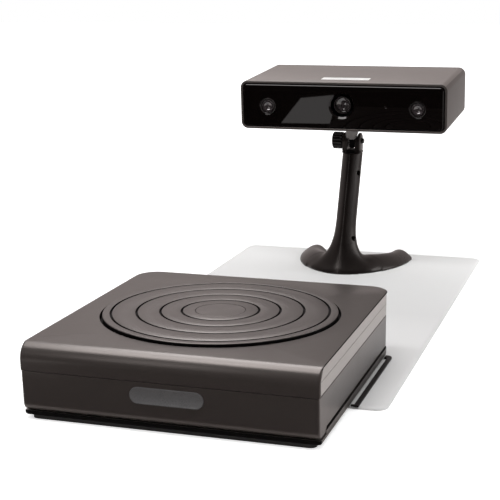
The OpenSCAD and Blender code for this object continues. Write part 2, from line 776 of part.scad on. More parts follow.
module tilt_knob() color("#151413") {
    w = lug_t / 2 + ear_gap + ear_t;
    difference() {
        translate([-w - 0.3 - knob_w, hinge_y, hinge_z]) rotate([0, 90, 0]) difference() {
            cylinder(r = knob_r, h = knob_w);
            for (k = [0:knob_ribs - 1]) rotate(k * 360 / knob_ribs) translate([knob_r + 0.35, 0, 1.2])
                cylinder(r = 0.9, h = knob_w - 2.4, $fn = 16);
        }
        along_x(-w - 8.3, hinge_y, hinge_z, 4.5, 20);
    }
}

module knob_insert() color("#c49a4a") difference() {
    w = lug_t / 2 + ear_gap + ear_t;
    along_x(-w - 8.3, hinge_y, hinge_z, 4.5, 8);
    along_x(-w - 9, hinge_y, hinge_z, bolt_r + run_gap, 20);
}

// ---------- head ----------
// Local frame: the middle of the front face, Y into the head.
module on_head() translate([0, hinge_y, hinge_z]) rotate([head_tilt, 0, 0])
    translate([0, -lug_y, lug_drop + head_h / 2]) children();

module tilt_lug() color("#8c8783") on_head() difference() {
    union() {
        translate([-lug_root_w / 2, lug_y - 12, -head_h / 2 - 3]) cube([lug_root_w, 24, 3]);
        translate([0, lug_y + 7, 0]) rotate([90, 0, 0]) linear_extrude(14) polygon([
            [-lug_root_w / 2, -head_h / 2 - 3], [lug_root_w / 2, -head_h / 2 - 3],
            [lug_t / 2, -head_h / 2 - lug_drop + ear_r + 1], [lug_t / 2, -head_h / 2 - lug_drop],
            [-lug_t / 2, -head_h / 2 - lug_drop], [-lug_t / 2, -head_h / 2 - lug_drop + ear_r + 1]]);
        along_x(-lug_t / 2, lug_y, -head_h / 2 - lug_drop, 7, lug_t);
    }
    along_x(-20, lug_y, -head_h / 2 - lug_drop, bolt_r + run_gap, 40);
}

module head_sleeve() color("#6b6461") on_head() difference() {
    slab_y(head_w, head_h, head_r, 0, rear_y);
    slab_y(inner_w, inner_h, head_r - sleeve_t, -1, head_d + 2);
}

module front_bezel() color("#1b1918") on_head() difference() {
    slab_y(inner_w - 2 * part_gap, inner_h - 2 * part_gap, head_r - sleeve_t - part_gap, 0.3, bezel_d);
    slab_y(glass_w, glass_h, 3, -1, glass_in + glass_t + 1 + part_gap);
    slab_y(glass_w - 3, glass_h - 3, 2, -1, 20);
}

module glass_panel() color("#0d0b0c") on_head() difference() {
    slab_y(glass_w - 2 * part_gap, glass_h - 2 * part_gap, 3 - part_gap, glass_in, glass_t);
    along_y(0, -1, projector_z, proj_hole_r, 20);
    for (s = [-1, 1]) along_y(s * lens_x, -1, lens_z, cam_r + part_gap, 20);
    along_y(sensor_x, -1, projector_z, sensor_r, 20);
}

module top_badge() color("#e8e8e8") on_head()
    translate([-top_badge_w / 2, top_badge_y - top_badge_d / 2, head_h / 2])
        cube([top_badge_w, top_badge_d, 0.4]);

module vents() for (x = [-3:3]) translate([x * 4 - 0.9, rear_y - 1, -11]) cube([1.8, rear_t + 2, 22]);

module rear_cover() color("#262322") on_head() difference() {
    union() {
        slab_y(head_w, head_h, head_r, rear_y, rear_t);
        difference() {
            slab_y(inner_w - 2 * part_gap, inner_h - 2 * part_gap, head_r - sleeve_t - part_gap,
                rear_y - 5, 5 + eps);
            slab_y(inner_w - 4, inner_h - 4, 2, rear_y - 6, 8);
        }
        for (x = [-1, 1], z = [-1, 1]) along_y(x * (head_w / 2 - 12), chassis_y + chassis_t,
            z * (head_h / 2 - 8), 3.5, rear_y - chassis_y - chassis_t + eps);
    }
    vents();
    along_y(button_x, rear_y - 8, 0, button_r + part_gap, 20);
    along_y(light_x, rear_y - 8, 0, 1.5, 20);
    translate([head_socket_x - socket_w / 2 - part_gap, rear_y - 8, -socket_h / 2 - part_gap])
        cube([socket_w + 2 * part_gap, 20, socket_h + 2 * part_gap]);
    translate([jack_x - jack_w / 2 - part_gap, rear_y - 8, -socket_h / 2 - part_gap])
        cube([jack_w + 2 * part_gap, 20, (socket_h + jack_w) / 2 + 2 * part_gap]);
    for (x = [-1, 1], z = [-1, 1]) {
        along_y(x * (head_w / 2 - 12), 0, z * (head_h / 2 - 8), screw_r, 200);
        along_y(x * (head_w / 2 - 12), head_d - 1.6, z * (head_h / 2 - 8), screw_head_r, 20);
    }
}

module rear_screws() color("#2d2d2f") on_head() for (x = [-1, 1], z = [-1, 1]) {
    along_y(x * (head_w / 2 - 12), head_d - 1.6, z * (head_h / 2 - 8), screw_head_r - 0.05, 1.4);
    along_y(x * (head_w / 2 - 12), head_d - 14, z * (head_h / 2 - 8), screw_r - 0.02, 13);
}

module chassis_plate() color("#a9adb1") on_head() difference() {
    slab_y(inner_w - 2 * part_gap, inner_h - 2 * part_gap, head_r - sleeve_t - part_gap, chassis_y,
        chassis_t);
    along_y(0, 0, projector_z, proj_r + 2, 200);
    for (s = [-1, 1]) along_y(s * lens_x, 0, 0, 4, 200);
}

module camera_barrel(s) {
    difference() {
        union() {
            along_y(s * lens_x, glass_in, lens_z, cam_r, cam_l);
            translate([s * lens_x - 12, glass_in + cam_l, -12])
                cube([24, chassis_y - board_t - glass_in - cam_l, 24]);
        }
        along_y(s * lens_x, -1, lens_z, cam_lens_r, lens_seat + 1);
        along_y(s * lens_x, -1, lens_z, cam_lens_r - 1.2, 18);
    }
}
module left_camera() color("#1a1a1c") on_head() camera_barrel(-1);
module right_camera() color("#1a1a1c") on_head() camera_barrel(1);

module camera_lens(s) intersection() {
    along_y(s * lens_x, glass_in, lens_z, cam_lens_r - 0.05, lens_seat - glass_in);
    translate([s * lens_x, glass_in + 0.8 + lens_round, lens_z]) sphere(r = lens_round, $fn = 96);
}
module left_lens() color("#3c4658") on_head() camera_lens(-1);
module right_lens() color("#3c4658") on_head() camera_lens(1);

module camera_boards() color("#2c6b3c") on_head() for (s = [-1, 1])
    translate([s * lens_x - 15, chassis_y - board_t, -15]) cube([30, board_t, 30]);

module projector_barrel() color("#1d1c1d") on_head() difference() {
    union() {
        along_y(0, proj_front, projector_z, proj_r, engine_y - proj_front);
        along_y(0, chassis_y - 3, projector_z, proj_r + 1.5, 3 + chassis_t);
    }
    along_y(0, -1, projector_z, proj_r - 1.8, proj_seat + 1);
    along_y(0, -1, projector_z, proj_r - 3.4, 60);
}

module projector_lens() color("#3c4658") on_head() intersection() {
    along_y(0, proj_front, projector_z, proj_r - 1.85, proj_seat - proj_front);
    translate([0, proj_front + 3.5 + lens_round, projector_z]) sphere(r = lens_round, $fn = 96);
}

module light_engine() color("#4b4d50") on_head()
    translate([-engine_w / 2, engine_y, projector_z - engine_h / 2]) cube([engine_w, engine_d, engine_h]);

module heat_sink() color("#b9bcc0") on_head() translate([0, engine_y + engine_d, projector_z]) {
    translate([-engine_w / 2, 0, -engine_h / 2]) cube([engine_w, 3, engine_h]);
    for (k = [-5:5]) translate([k * 4 - 0.6, 2.9, -engine_h / 2]) cube([1.2, 16, engine_h]);
}

fan_y = rear_y - fan_d - 0.3;
module fan_frame() color("#1a1a1c") on_head() difference() {
    slab_y(fan_w, fan_w, 3, fan_y, fan_d + 0.3);
    along_y(0, fan_y + 1.5, 0, fan_w / 2 - 1.5, fan_d + 2);
    for (k = [0:3]) rotate([0, k * 90 + 45, 0]) translate([5.5, fan_y - 1, -3])
        cube([fan_w / 2 - 7.5, 4, 6]);
    along_y(0, fan_y - 1, 0, 1.2 + run_gap, 20);
}

module fan_rotor() color("#232325") on_head() {
    along_y(0, fan_y + 2, 0, 7, fan_d - 3);
    along_y(0, fan_y + 0.2, 0, 1.2, 3);
    for (k = [0:6]) rotate([0, k * 360 / 7, 0]) translate([6, fan_y + 2.5, 0]) rotate([35, 0, 0])
        translate([0, 0, -0.6]) cube([fan_w / 2 - 8.5, 5, 1.2]);
}

module main_board() color("#2c6b3c") on_head() {
    translate([engine_w / 2 + 2, engine_y, -socket_h / 2 - board_t])
        cube([head_w / 2 - 18 - engine_w / 2, rear_y - engine_y - 6, board_t]);
}

module usb_socket() color("#b9bcc0") on_head()
    translate([head_socket_x - socket_w / 2, head_d - socket_d - 0.6, -socket_h / 2])
        socket_shell(socket_w, socket_h, socket_d);

module power_jack() color("#1a1a1c") on_head() difference() {
    translate([jack_x - jack_w / 2, head_d - 14, -socket_h / 2])
        cube([jack_w, 13.4, jack_w + (socket_h - jack_w) / 2]);
    difference() {
        along_y(jack_x, head_d - 11, 0, jack_r, 20);
        along_y(jack_x, head_d - 12, 0, 1, 9);
    }
}

module power_button() color("#b9bcc0") on_head() {
    along_y(button_x, rear_y - 1.8, 0, button_r, rear_t + 1.8 + button_travel + 0.4);
    along_y(button_x, rear_y - 1.8, 0, button_r + 1, 1.5);
}

module power_switch() color("#1a1a1c") on_head()
    translate([button_x - 5.5, rear_y - 12, -socket_h / 2]) cube([11, 12 - 2.2 - button_travel, socket_h]);

module status_light() color("#bfe3ff") on_head() along_y(light_x, rear_y - 6, 0, 1.5, rear_t + 6.2);

module sensor_window() color("#2a1518") on_head() {
    along_y(sensor_x, glass_in, projector_z, sensor_r - 0.02, glass_t);
}

top_shell();
lower_shell();
base_tray();
base_screws();
rubber_feet();
locating_flanges();
front_badge();
platter();
centre_disc();
spindle();
platter_gear();
bearing_housing();
bearing_bush();
motor();
motor_bracket();
motor_pinion();
table_board();
table_socket();
positioning_sheet();
pole_left();
pole_right();
stand_screws();
stand_foot();
foot_pads();
yoke();
tilt_bolt();
tilt_knob();
knob_insert();
tilt_lug();
head_sleeve();
front_bezel();
glass_panel();
top_badge();
rear_cover();
rear_screws();
chassis_plate();
left_camera();
right_camera();
left_lens();
right_lens();
camera_boards();
projector_barrel();
projector_lens();
light_engine();
heat_sink();
fan_frame();
fan_rotor();
main_board();
usb_socket();
power_jack();
power_button();
power_switch();
status_light();
sensor_window();
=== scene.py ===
import bpy, bmesh, json, math
from mathutils import Euler, Matrix, Vector


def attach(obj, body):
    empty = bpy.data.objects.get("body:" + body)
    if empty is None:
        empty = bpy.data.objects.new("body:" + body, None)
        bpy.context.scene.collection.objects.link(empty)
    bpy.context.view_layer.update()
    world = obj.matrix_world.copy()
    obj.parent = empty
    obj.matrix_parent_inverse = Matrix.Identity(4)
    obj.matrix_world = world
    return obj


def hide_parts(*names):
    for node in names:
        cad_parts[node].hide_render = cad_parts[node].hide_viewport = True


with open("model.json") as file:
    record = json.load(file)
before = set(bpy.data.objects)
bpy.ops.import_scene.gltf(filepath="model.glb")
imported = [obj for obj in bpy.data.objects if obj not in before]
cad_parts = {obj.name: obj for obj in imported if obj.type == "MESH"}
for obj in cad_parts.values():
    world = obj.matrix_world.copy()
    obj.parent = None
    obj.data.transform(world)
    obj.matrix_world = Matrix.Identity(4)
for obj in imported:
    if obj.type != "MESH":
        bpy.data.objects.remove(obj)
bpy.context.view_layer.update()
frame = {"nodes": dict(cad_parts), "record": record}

mm = 0.001
nodes = frame["nodes"]

# Where things stand in the row frame, in mm and degrees
tableX, tableY = -3.0, -181.0
hingeY, hingeZ = 227.39, 128.8
lugY, lugDrop, headHeight, headLean = 46.8, 18.5, 48.0, 3.9
rowFrame = Matrix.Identity(4)
tableFrame = Matrix.Translation((tableX, tableY, 0))
headFrame = (Matrix.Translation((0, hingeY, hingeZ)) @ Matrix.Rotation(math.radians(headLean), 4, "X")
             @ Matrix.Translation((0, -lugY, lugDrop + headHeight / 2)))

# Patterns that the finishes share: scales of the noise, and levels from 0 to 1
pattern = {"driftScale": 34.0, "edgeStart": 0.53, "edgeGain": 9.0, "chipScale": 260.0, "chipGain": 1.4,
           "cloudScale": 16.0, "gritScale": 900.0, "fleckScale": 420.0, "dustColor": (0.55, 0.53, 0.5, 1),
           "turnScale": 1200.0, "turnStretch": (1.0, 1.0, 0.04), "bumpReach": 0.0001}


def newGroup(name, inputs, outputs):
    group = bpy.data.node_groups.new(name, "ShaderNodeTree")
    for label, value in inputs.items():
        kind = "NodeSocketColor" if isinstance(value, tuple) else "NodeSocketFloat"
        group.interface.new_socket(name=label, in_out="INPUT", socket_type=kind).default_value = value
    for label, kind in outputs.items():
        group.interface.new_socket(name=label, in_out="OUTPUT", socket_type=kind)
    given = group.nodes.new("NodeGroupInput")
    result = group.nodes.new("NodeGroupOutput")
    return group, given.outputs, result.inputs


def feed(tree, socket, value):
    if isinstance(value, bpy.types.NodeSocket):
        tree.links.new(value, socket)
    else:
        socket.default_value = value


def mathNode(tree, operation, first, second, clamp=False):
    node = tree.nodes.new("ShaderNodeMath")
    node.operation = operation
    node.use_clamp = clamp
    feed(tree, node.inputs[0], first)
    feed(tree, node.inputs[1], second)
    return node.outputs[0]


def noiseNode(tree, scale, detail, rough, stretch=None):
    place = tree.nodes.new("ShaderNodeTexCoord").outputs["Object"]
    if stretch:
        mapping = tree.nodes.new("ShaderNodeMapping")
        mapping.inputs["Scale"].default_value = stretch
        tree.links.new(place, mapping.inputs["Vector"])
        place = mapping.outputs[0]
    noise = tree.nodes.new("ShaderNodeTexNoise")
    noise.inputs["Detail"].default_value = detail
    noise.inputs["Roughness"].default_value = rough
    tree.links.new(place, noise.inputs["Vector"])
    feed(tree, noise.inputs["Scale"], scale)
    return noise.outputs["Fac"]


def mixColors(tree, factor, first, second):
    mix = tree.nodes.new("ShaderNodeMix")
    mix.data_type = "RGBA"
    feed(tree, mix.inputs["Factor"], factor)
    feed(tree, mix.inputs[6], first)  # the colour sockets A and B
    feed(tree, mix.inputs[7], second)
    return mix.outputs[2]


def splitAxes(tree, vector):
    split = tree.nodes.new("ShaderNodeSeparateXYZ")
    tree.links.new(vector, split.inputs[0])
    return split.outputs


def fadeNode(tree, value, start, end, low=0.0, high=1.0):
    fade = tree.nodes.new("ShaderNodeMapRange")
    for label, level in (("From Min", start), ("From Max", end), ("To Min", low), ("To Max", high)):
        fade.inputs[label].default_value = level
    tree.links.new(value, fade.inputs["Value"])
    return fade.outputs[0]


def makeMouldedGrain():
    group, given, result = newGroup(
        "mouldedGrain", {"Grain Scale": 2200.0, "Grain Height": 1.0, "Gloss Level": 0.4, "Gloss Drift": 0.08},
        {"Height": "NodeSocketFloat", "Roughness": "NodeSocketFloat"})
    fine = noiseNode(group, given["Grain Scale"], 3.0, 0.6)
    group.links.new(mathNode(group, "MULTIPLY", fine, given["Grain Height"]), result["Height"])
    drifts = []
    for source in (noiseNode(group, pattern["driftScale"], 4.0, 0.6), fine):
        centred = mathNode(group, "SUBTRACT", source, 0.5)
        drifts.append(mathNode(group, "MULTIPLY", centred, given["Gloss Drift"]))
    gloss = mathNode(group, "ADD", mathNode(group, "ADD", *drifts), given["Gloss Level"])
    group.links.new(gloss, result["Roughness"])
    return group


def makeWornEdge():
    group, given, result = newGroup(
        "wornEdge", {"Color": (0.1, 0.1, 0.1, 1), "Worn Color": (0.3, 0.3, 0.3, 1), "Amount": 0.3},
        {"Color": "NodeSocketColor"})
    point = group.nodes.new("ShaderNodeNewGeometry").outputs["Pointiness"]
    sharp = mathNode(group, "SUBTRACT", point, pattern["edgeStart"])
    edge = mathNode(group, "MULTIPLY", sharp, pattern["edgeGain"], True)
    chips = noiseNode(group, pattern["chipScale"], 4.0, 0.7)
    broken = mathNode(group, "MULTIPLY", chips, pattern["chipGain"], True)
    mask = mathNode(group, "MULTIPLY", mathNode(group, "MULTIPLY", edge, broken), given["Amount"], True)
    group.links.new(mixColors(group, mask, given["Color"], given["Worn Color"]), result["Color"])
    return group


def makeToneDrift():
    group, given, result = newGroup(
        "toneDrift", {"Color": (0.1, 0.1, 0.1, 1), "Drift": 0.1, "Dust": 0.02}, {"Color": "NodeSocketColor"})
    cloud = mathNode(group, "SUBTRACT", noiseNode(group, pattern["cloudScale"], 5.0, 0.6), 0.5)
    grit = mathNode(group, "SUBTRACT", noiseNode(group, pattern["gritScale"], 2.0, 0.6), 0.5)
    drift = mathNode(group, "MULTIPLY", mathNode(group, "ADD", cloud, grit), given["Drift"])
    tint = group.nodes.new("ShaderNodeVectorMath")
    tint.operation = "SCALE"
    group.links.new(given["Color"], tint.inputs[0])
    group.links.new(mathNode(group, "ADD", drift, 1.0), tint.inputs["Scale"])
    facing = splitAxes(group, group.nodes.new("ShaderNodeNewGeometry").outputs["Normal"])
    upward = mathNode(group, "MULTIPLY", facing["Z"], given["Dust"], True)
    fleck = mathNode(group, "MULTIPLY", upward, noiseNode(group, pattern["fleckScale"], 6.0, 0.75), True)
    group.links.new(mixColors(group, fleck, tint.outputs[0], pattern["dustColor"]), result["Color"])
    return group


def makeTurnedMarks():
    group, given, result = newGroup("turnedMarks", {"Level": 0.3, "Spread": 0.2},
                                    {"Height": "NodeSocketFloat", "Roughness": "NodeSocketFloat"})
    line = noiseNode(group, pattern["turnScale"], 3.0, 0.6, pattern["turnStretch"])
    group.links.new(line, result["Height"])
    swing = mathNode(group, "MULTIPLY", mathNode(group, "SUBTRACT", line, 0.5), given["Spread"])
    group.links.new(mathNode(group, "ADD", swing, given["Level"]), result["Roughness"])
    return group


mouldedGrain, wornEdge = makeMouldedGrain(), makeWornEdge()
toneDrift, turnedMarks = makeToneDrift(), makeTurnedMarks()
print("shader groups made")


def placeGroup(tree, group, values):
    node = tree.nodes.new("ShaderNodeGroup")
    node.node_tree = group
    for label, value in values.items():
        node.inputs[label].default_value = value
    return node


def startMaterial(name, shader):
    mat = bpy.data.materials.new(name)
    mat.use_nodes = True
    body = mat.node_tree.nodes["Principled BSDF"]
    for label, value in shader.items():
        body.inputs[label].default_value = value
    return mat, mat.node_tree, body


def coverBody(tree, body, color, skin, depth):
    tree.links.new(color, body.inputs["Base Color"])
    tree.links.new(skin.outputs["Roughness"], body.inputs["Roughness"])
    bump = tree.nodes.new("ShaderNodeBump")
    bump.inputs["Strength"].default_value = depth
    bump.inputs["Distance"].default_value = pattern["bumpReach"]
    tree.links.new(skin.outputs["Height"], bump.inputs["Height"])
    tree.links.new(bump.outputs[0], body.inputs["Normal"])


def agedColor(tree, color, drift, dust, worn, wear):
    drifted = placeGroup(tree, toneDrift, {"Color": (*color, 1), "Drift": drift, "Dust": dust})
    edge = placeGroup(tree, wornEdge, {"Worn Color": (*worn, 1), "Amount": wear})
    tree.links.new(drifted.outputs["Color"], edge.inputs["Color"])
    return edge.outputs["Color"]


def mouldedFinish(name, color, gloss, grain=2200.0, depth=0.25, drift=0.06, tone=0.08, dust=0.02, wear=0.25,
                  shader=None):
    mat, tree, body = startMaterial(name, shader or {})
    worn = [min(1, c * 2.2 + 0.02) for c in color]  # rubbed edges show paler
    skin = placeGroup(tree, mouldedGrain, {"Grain Scale": grain, "Gloss Level": gloss, "Gloss Drift": drift})
    coverBody(tree, body, agedColor(tree, color, tone, dust, worn, wear), skin, depth)
    return mat


# The sheet gets painted shade: it fades from grey near the turntable to white under the head, along Y in
# metres
sheetLook = {"fadeStart": 0.04, "fadeEnd": 0.27, "near": (0.60, 0.60, 0.60, 1), "far": (0.88, 0.885, 0.88, 1),
             "drift": 0.02, "grain": 1500.0, "gloss": 0.55, "glossDrift": 0.05, "depth": 0.1}


def sheetFinish():
    mat, tree, body = startMaterial("sheetPlastic", {})
    along = splitAxes(tree, tree.nodes.new("ShaderNodeTexCoord").outputs["Object"])["Y"]
    fade = fadeNode(tree, along, sheetLook["fadeStart"], sheetLook["fadeEnd"])
    drifted = placeGroup(tree, toneDrift, {"Drift": sheetLook["drift"], "Dust": 0.0})
    tree.links.new(mixColors(tree, fade, sheetLook["near"], sheetLook["far"]), drifted.inputs["Color"])
    skin = placeGroup(tree, mouldedGrain, {
        "Grain Scale": sheetLook["grain"], "Gloss Level": sheetLook["gloss"],
        "Gloss Drift": sheetLook["glossDrift"]})
    coverBody(tree, body, drifted.outputs["Color"], skin, sheetLook["depth"])
    return mat


turnedLook = {"spread": 0.2, "depth": 0.1, "drift": 0.1, "dust": 0.01, "worn": (0.9, 0.9, 0.9), "wear": 0.2}


def turnedFinish(name, color, level):
    mat, tree, body = startMaterial(name, {"Metallic": 1.0})
    marks = placeGroup(tree, turnedMarks, {"Level": level, "Spread": turnedLook["spread"]})
    aged = agedColor(tree, color, *(turnedLook[key] for key in ("drift", "dust", "worn", "wear")))
    coverBody(tree, body, aged, marks, turnedLook["depth"])
    return mat


warmSheen = {"Specular Tint": (1.0, 0.93, 0.90, 1)}
finish = {
    "deck": mouldedFinish("deckPlastic", (0.034, 0.028, 0.026), 0.30, depth=0.22, shader=warmSheen),
    "side": mouldedFinish("sidePlastic", (0.262, 0.246, 0.236), 0.34, depth=0.22),
    "platter": mouldedFinish("platterPlastic", (0.034, 0.028, 0.027), 0.33, shader=warmSheen),
    "tray": mouldedFinish("trayPlastic", (0.045, 0.040, 0.037), 0.40, shader=warmSheen),
    "black": mouldedFinish("blackPlastic", (0.006, 0.005, 0.005), 0.30, depth=0.2, wear=0.2),
    # near-black finish with little shine: painted shade for gaps, slits, grooves, hollows and undersides
    "gap": mouldedFinish("paintedShadeGap", (0.0022, 0.0018, 0.0018), 0.6, depth=0.2, wear=0.0, dust=0.0,
                         shader={"Specular IOR Level": 0.06}),
    "rim": mouldedFinish("rimPlastic", (0.005, 0.004, 0.004), 0.30, depth=0.15, wear=0.1, dust=0.0,
                         shader={"Specular IOR Level": 0.08}),
    "flange": mouldedFinish("flangePlastic", (0.005, 0.004, 0.004), 0.45, depth=0.2, wear=0.15, dust=0.0,
                            shader={"Specular IOR Level": 0.12}),
    "stand": mouldedFinish("standPlastic", (0.0042, 0.0028, 0.0024), 0.29, grain=2600.0, depth=0.18,
                           dust=0.004, wear=0.05, shader={"Specular IOR Level": 0.36, **warmSheen}),
    "sheet": sheetFinish(),
    "sleeve": mouldedFinish("sleevePaint", (0.085, 0.073, 0.069), 0.36, grain=2400.0,
                            shader={"Specular IOR Level": 0.75, **warmSheen}),
    # a darker copy of the sleeve paint: painted shade for the sleeve's sides and front rim
    "sleeveShade": mouldedFinish("sleevePaintedShade", (0.042, 0.036, 0.034), 0.36, grain=2400.0,
                           shader={"Specular IOR Level": 0.4, **warmSheen}),
    "lug": mouldedFinish("lugPaint", (0.20, 0.19, 0.185), 0.34, depth=0.2),
    "rubber": mouldedFinish("footRubber", (0.012, 0.012, 0.012), 0.75, grain=1200.0, depth=0.5, dust=0.1),
    "badge": mouldedFinish("badgeInlay", (0.085, 0.084, 0.086), 0.28, grain=3000.0, depth=0.08, tone=0.04),
    "label": mouldedFinish("labelPlate", (0.80, 0.80, 0.79), 0.35, grain=3000.0, depth=0.05, tone=0.02,
                           dust=0.0),
    "nylon": mouldedFinish("gearNylon", (0.70, 0.68, 0.60), 0.5, tone=0.05),
    "motor": mouldedFinish("motorLacquer", (0.02, 0.02, 0.022), 0.3, depth=0.15),
    "board": mouldedFinish("boardMask", (0.02, 0.12, 0.05), 0.3, grain=3000.0, depth=0.15),
    "pipe": mouldedFinish("lightPipe", (0.55, 0.75, 0.9), 0.2, depth=0.05,
                          shader={"Transmission Weight": 0.4}),
    "glass": mouldedFinish("blackGlass", (0.0022, 0.0014, 0.0013), 0.018, grain=400.0, depth=0.004,
                           drift=0.01, tone=0.1, dust=0.001, wear=0.0, shader={"Specular IOR Level": 0.34}),
    "lens": mouldedFinish("coatedLens", (0.030, 0.024, 0.026), 0.05, grain=500.0, depth=0.0, drift=0.01,
                          dust=0.0, wear=0.0, shader={"Coat Weight": 1.0, "Coat Roughness": 0.02,
                                                      "Specular IOR Level": 0.9}),
    "ring": mouldedFinish("lensRing", (0.010, 0.008, 0.008), 0.16, depth=0.06, wear=0.3),
    "filter": mouldedFinish("sensorFilter", (0.006, 0.003, 0.003), 0.1, depth=0.0),
    "steel": turnedFinish("turnedSteel", (0.55, 0.55, 0.56), 0.28),
    "screw": turnedFinish("screwSteel", (0.30, 0.30, 0.31), 0.35),
    "brass": turnedFinish("turnedBrass", (0.62, 0.42, 0.16), 0.28),
    "alloy": turnedFinish("machinedAlloy", (0.62, 0.62, 0.64), 0.34),
    "engine": turnedFinish("anodisedCase", (0.08, 0.08, 0.085), 0.38),
}
print("finishes made:", len(finish))

# Which nodes have which finish
dressedIn = {
    "deck": ["top_shell", "lower_shell"], "tray": ["base_tray"], "flange": ["locating_flanges"],
    "badge": ["front_badge"], "platter": ["platter", "centre_disc"], "sheet": ["positioning_sheet"],
    "stand": ["stand_foot", "pole_left", "pole_right"], "lug": ["tilt_lug"], "sleeve": ["head_sleeve"],
    "glass": ["glass_panel"], "label": ["top_badge"], "filter": ["sensor_window"], "pipe": ["status_light"],
    "black": ["yoke", "tilt_knob", "front_bezel", "rear_cover", "fan_frame", "fan_rotor", "power_jack",
              "power_switch"],
    "ring": ["left_camera", "right_camera", "projector_barrel"],
    "lens": ["left_lens", "right_lens", "projector_lens"],
    "screw": ["base_screws", "stand_screws", "rear_screws"], "rubber": ["rubber_feet", "foot_pads"],
    "steel": ["spindle", "motor_pinion", "table_socket", "tilt_bolt", "usb_socket"],
    "alloy": ["bearing_housing", "motor_bracket", "chassis_plate", "heat_sink", "power_button"],
    "brass": ["bearing_bush", "knob_insert"], "nylon": ["platter_gear"], "motor": ["motor"],
    "board": ["table_board", "camera_boards", "main_board"], "engine": ["light_engine"]}
for look, names in dressedIn.items():
    for nodeName in names:
        cadPiece = nodes[nodeName]
        if not cadPiece.material_slots:
            cadPiece.data.materials.append(None)
        for materialSlot in cadPiece.material_slots:
            materialSlot.link = "OBJECT"
            materialSlot.material = finish[look]
print("CAD nodes dressed:", sum(len(names) for names in dressedIn.values()), "of", len(nodes))

bodyOf = {name: body for body, names in frame["record"]["behaviour"]["bodies"].items() for name in names}
axisR = 0.01  # where the outline of a turned shape meets the axis


def linkObject(name, data):
    obj = bpy.data.objects.new(name, data)
    bpy.context.scene.collection.objects.link(obj)
    return obj


def shapeMesh(name, shape, place=rowFrame, weld=True):
    verts, faces = shape
    mesh = bpy.data.meshes.new(name)
    mesh.from_pydata([place @ Vector(v) * mm for v in verts], [], faces)
    bm = bmesh.new()
    bm.from_mesh(mesh)
    if weld:
        bmesh.ops.remove_doubles(bm, verts=bm.verts, dist=1e-6)
    bmesh.ops.recalc_face_normals(bm, faces=bm.faces)
    bm.to_mesh(mesh)
    bm.free()
    return mesh


def dressPiece(name, mesh, look, replaced, smooth, bevel=None):
    obj = linkObject(name, mesh)
    mesh.materials.append(finish[look])
    mesh.shade_smooth()
    mesh.set_sharp_from_angle(angle=math.radians(smooth))
    if bevel:
        soft = obj.modifiers.new("softEdge", "BEVEL")
        soft.width = bevel * mm
        soft.segments = 3
        soft.limit_method = "ANGLE"
        soft.angle_limit = math.radians(35)
        soft.harden_normals = True
    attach(obj, bodyOf[replaced[0]])
    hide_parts(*replaced)
    return obj


def addPiece(name, shape, look, replaced, place=rowFrame, smooth=30, bevel=None):
    return dressPiece(name, shapeMesh(name, shape, place), look, replaced, smooth, bevel)


# Gives a second finish to the faces that the test picks, by their centre and normal; by default the
# near-black gap finish, which paints shade onto hollows and undersides
def paintFaces(obj, test, look="gap", place=rowFrame):
    obj.data.materials.append(finish[look])
    inward = place.inverted()
    for poly in obj.data.polygons:
        if test(inward @ (poly.center / mm), poly.normal):
            poly.material_index = 1


def loft(rings, caps=True, keep=None):
    count = len(rings[0])
    verts = [p for ring in rings for p in ring]
    faces = []
    for i in range(len(rings) - 1):
        for j in range(count):
            if keep is None or keep(j):
                k = (j + 1) % count
                faces.append((i * count + j, i * count + k, (i + 1) * count + k, (i + 1) * count + j))
    if caps:
        faces.append(tuple(range(count))[::-1])
        faces.append(tuple((len(rings) - 1) * count + j for j in range(count)))
    return verts, faces


def joinShapes(*shapes):
    verts, faces = [], []
    for newVerts, newFaces in shapes:
        start = len(verts)
        verts += newVerts
        faces += [tuple(start + i for i in face) for face in newFaces]
    return verts, faces


def lathe(profile, steps=96, axis="Z", centre=(0, 0, 0)):
    count, verts, faces = len(profile), [], []
    for step in range(steps):
        turn = 2 * math.pi * step / steps
        c, s = math.cos(turn), math.sin(turn)
        for r, along in profile:
            point = {"Z": (r * c, r * s, along), "Y": (r * c, along, r * s), "X": (along, r * c, r * s)}[axis]
            verts.append(tuple(p + q for p, q in zip(point, centre)))
        after = (step + 1) % steps
        for k in range(count - 1):
            faces.append((step * count + k, after * count + k, after * count + k + 1, step * count + k + 1))
    return verts, faces


def plateWithHoles(loops):
    bm = bmesh.new()
    edges = []
    for loop in loops:
        ring = [bm.verts.new(p) for p in loop]
        edges += [bm.edges.new(pair) for pair in zip(ring, ring[1:] + ring[:1])]
    bmesh.ops.triangle_fill(bm, use_beauty=True, edges=edges)
    bm.verts.index_update()
    shape = [tuple(v.co) for v in bm.verts], [tuple(v.index for v in face.verts) for face in bm.faces]
    bm.free()
    return shape


def arcPoints(cx, cy, r, start, end, steps):
    turns = [math.radians(start + (end - start) * i / steps) for i in range(steps + 1)]
    return [(cx + r * math.cos(t), cy + r * math.sin(t)) for t in turns]


def circlePoints(cx, cy, r, count):
    turns = [2 * math.pi * k / count for k in range(count)]
    return [(cx + r * math.cos(t), cy + r * math.sin(t)) for t in turns]


def roundRect(width, height, r, steps):
    points = []
    for sx, sy, turn in ((1, 1, 0), (-1, 1, 90), (-1, -1, 180), (1, -1, 270)):
        points += arcPoints(sx * (width / 2 - r), sy * (height / 2 - r), r, turn, turn + 90, steps)
    return points


# Rings of an upright rounded slab: each level has its depth along Y and its inset
def slabRings(width, height, r, levels, steps):
    return [[(x, depth, z) for x, z in
             roundRect(width - 2 * inset, height - 2 * inset, max(r - inset, 0.2), steps)]
            for depth, inset in levels]


# How far a rounded edge has drawn in, at a distance past the start of its arc
def roundIn(radius, past):
    return radius - math.sqrt(max(0.0, radius ** 2 - max(0.0, past) ** 2))


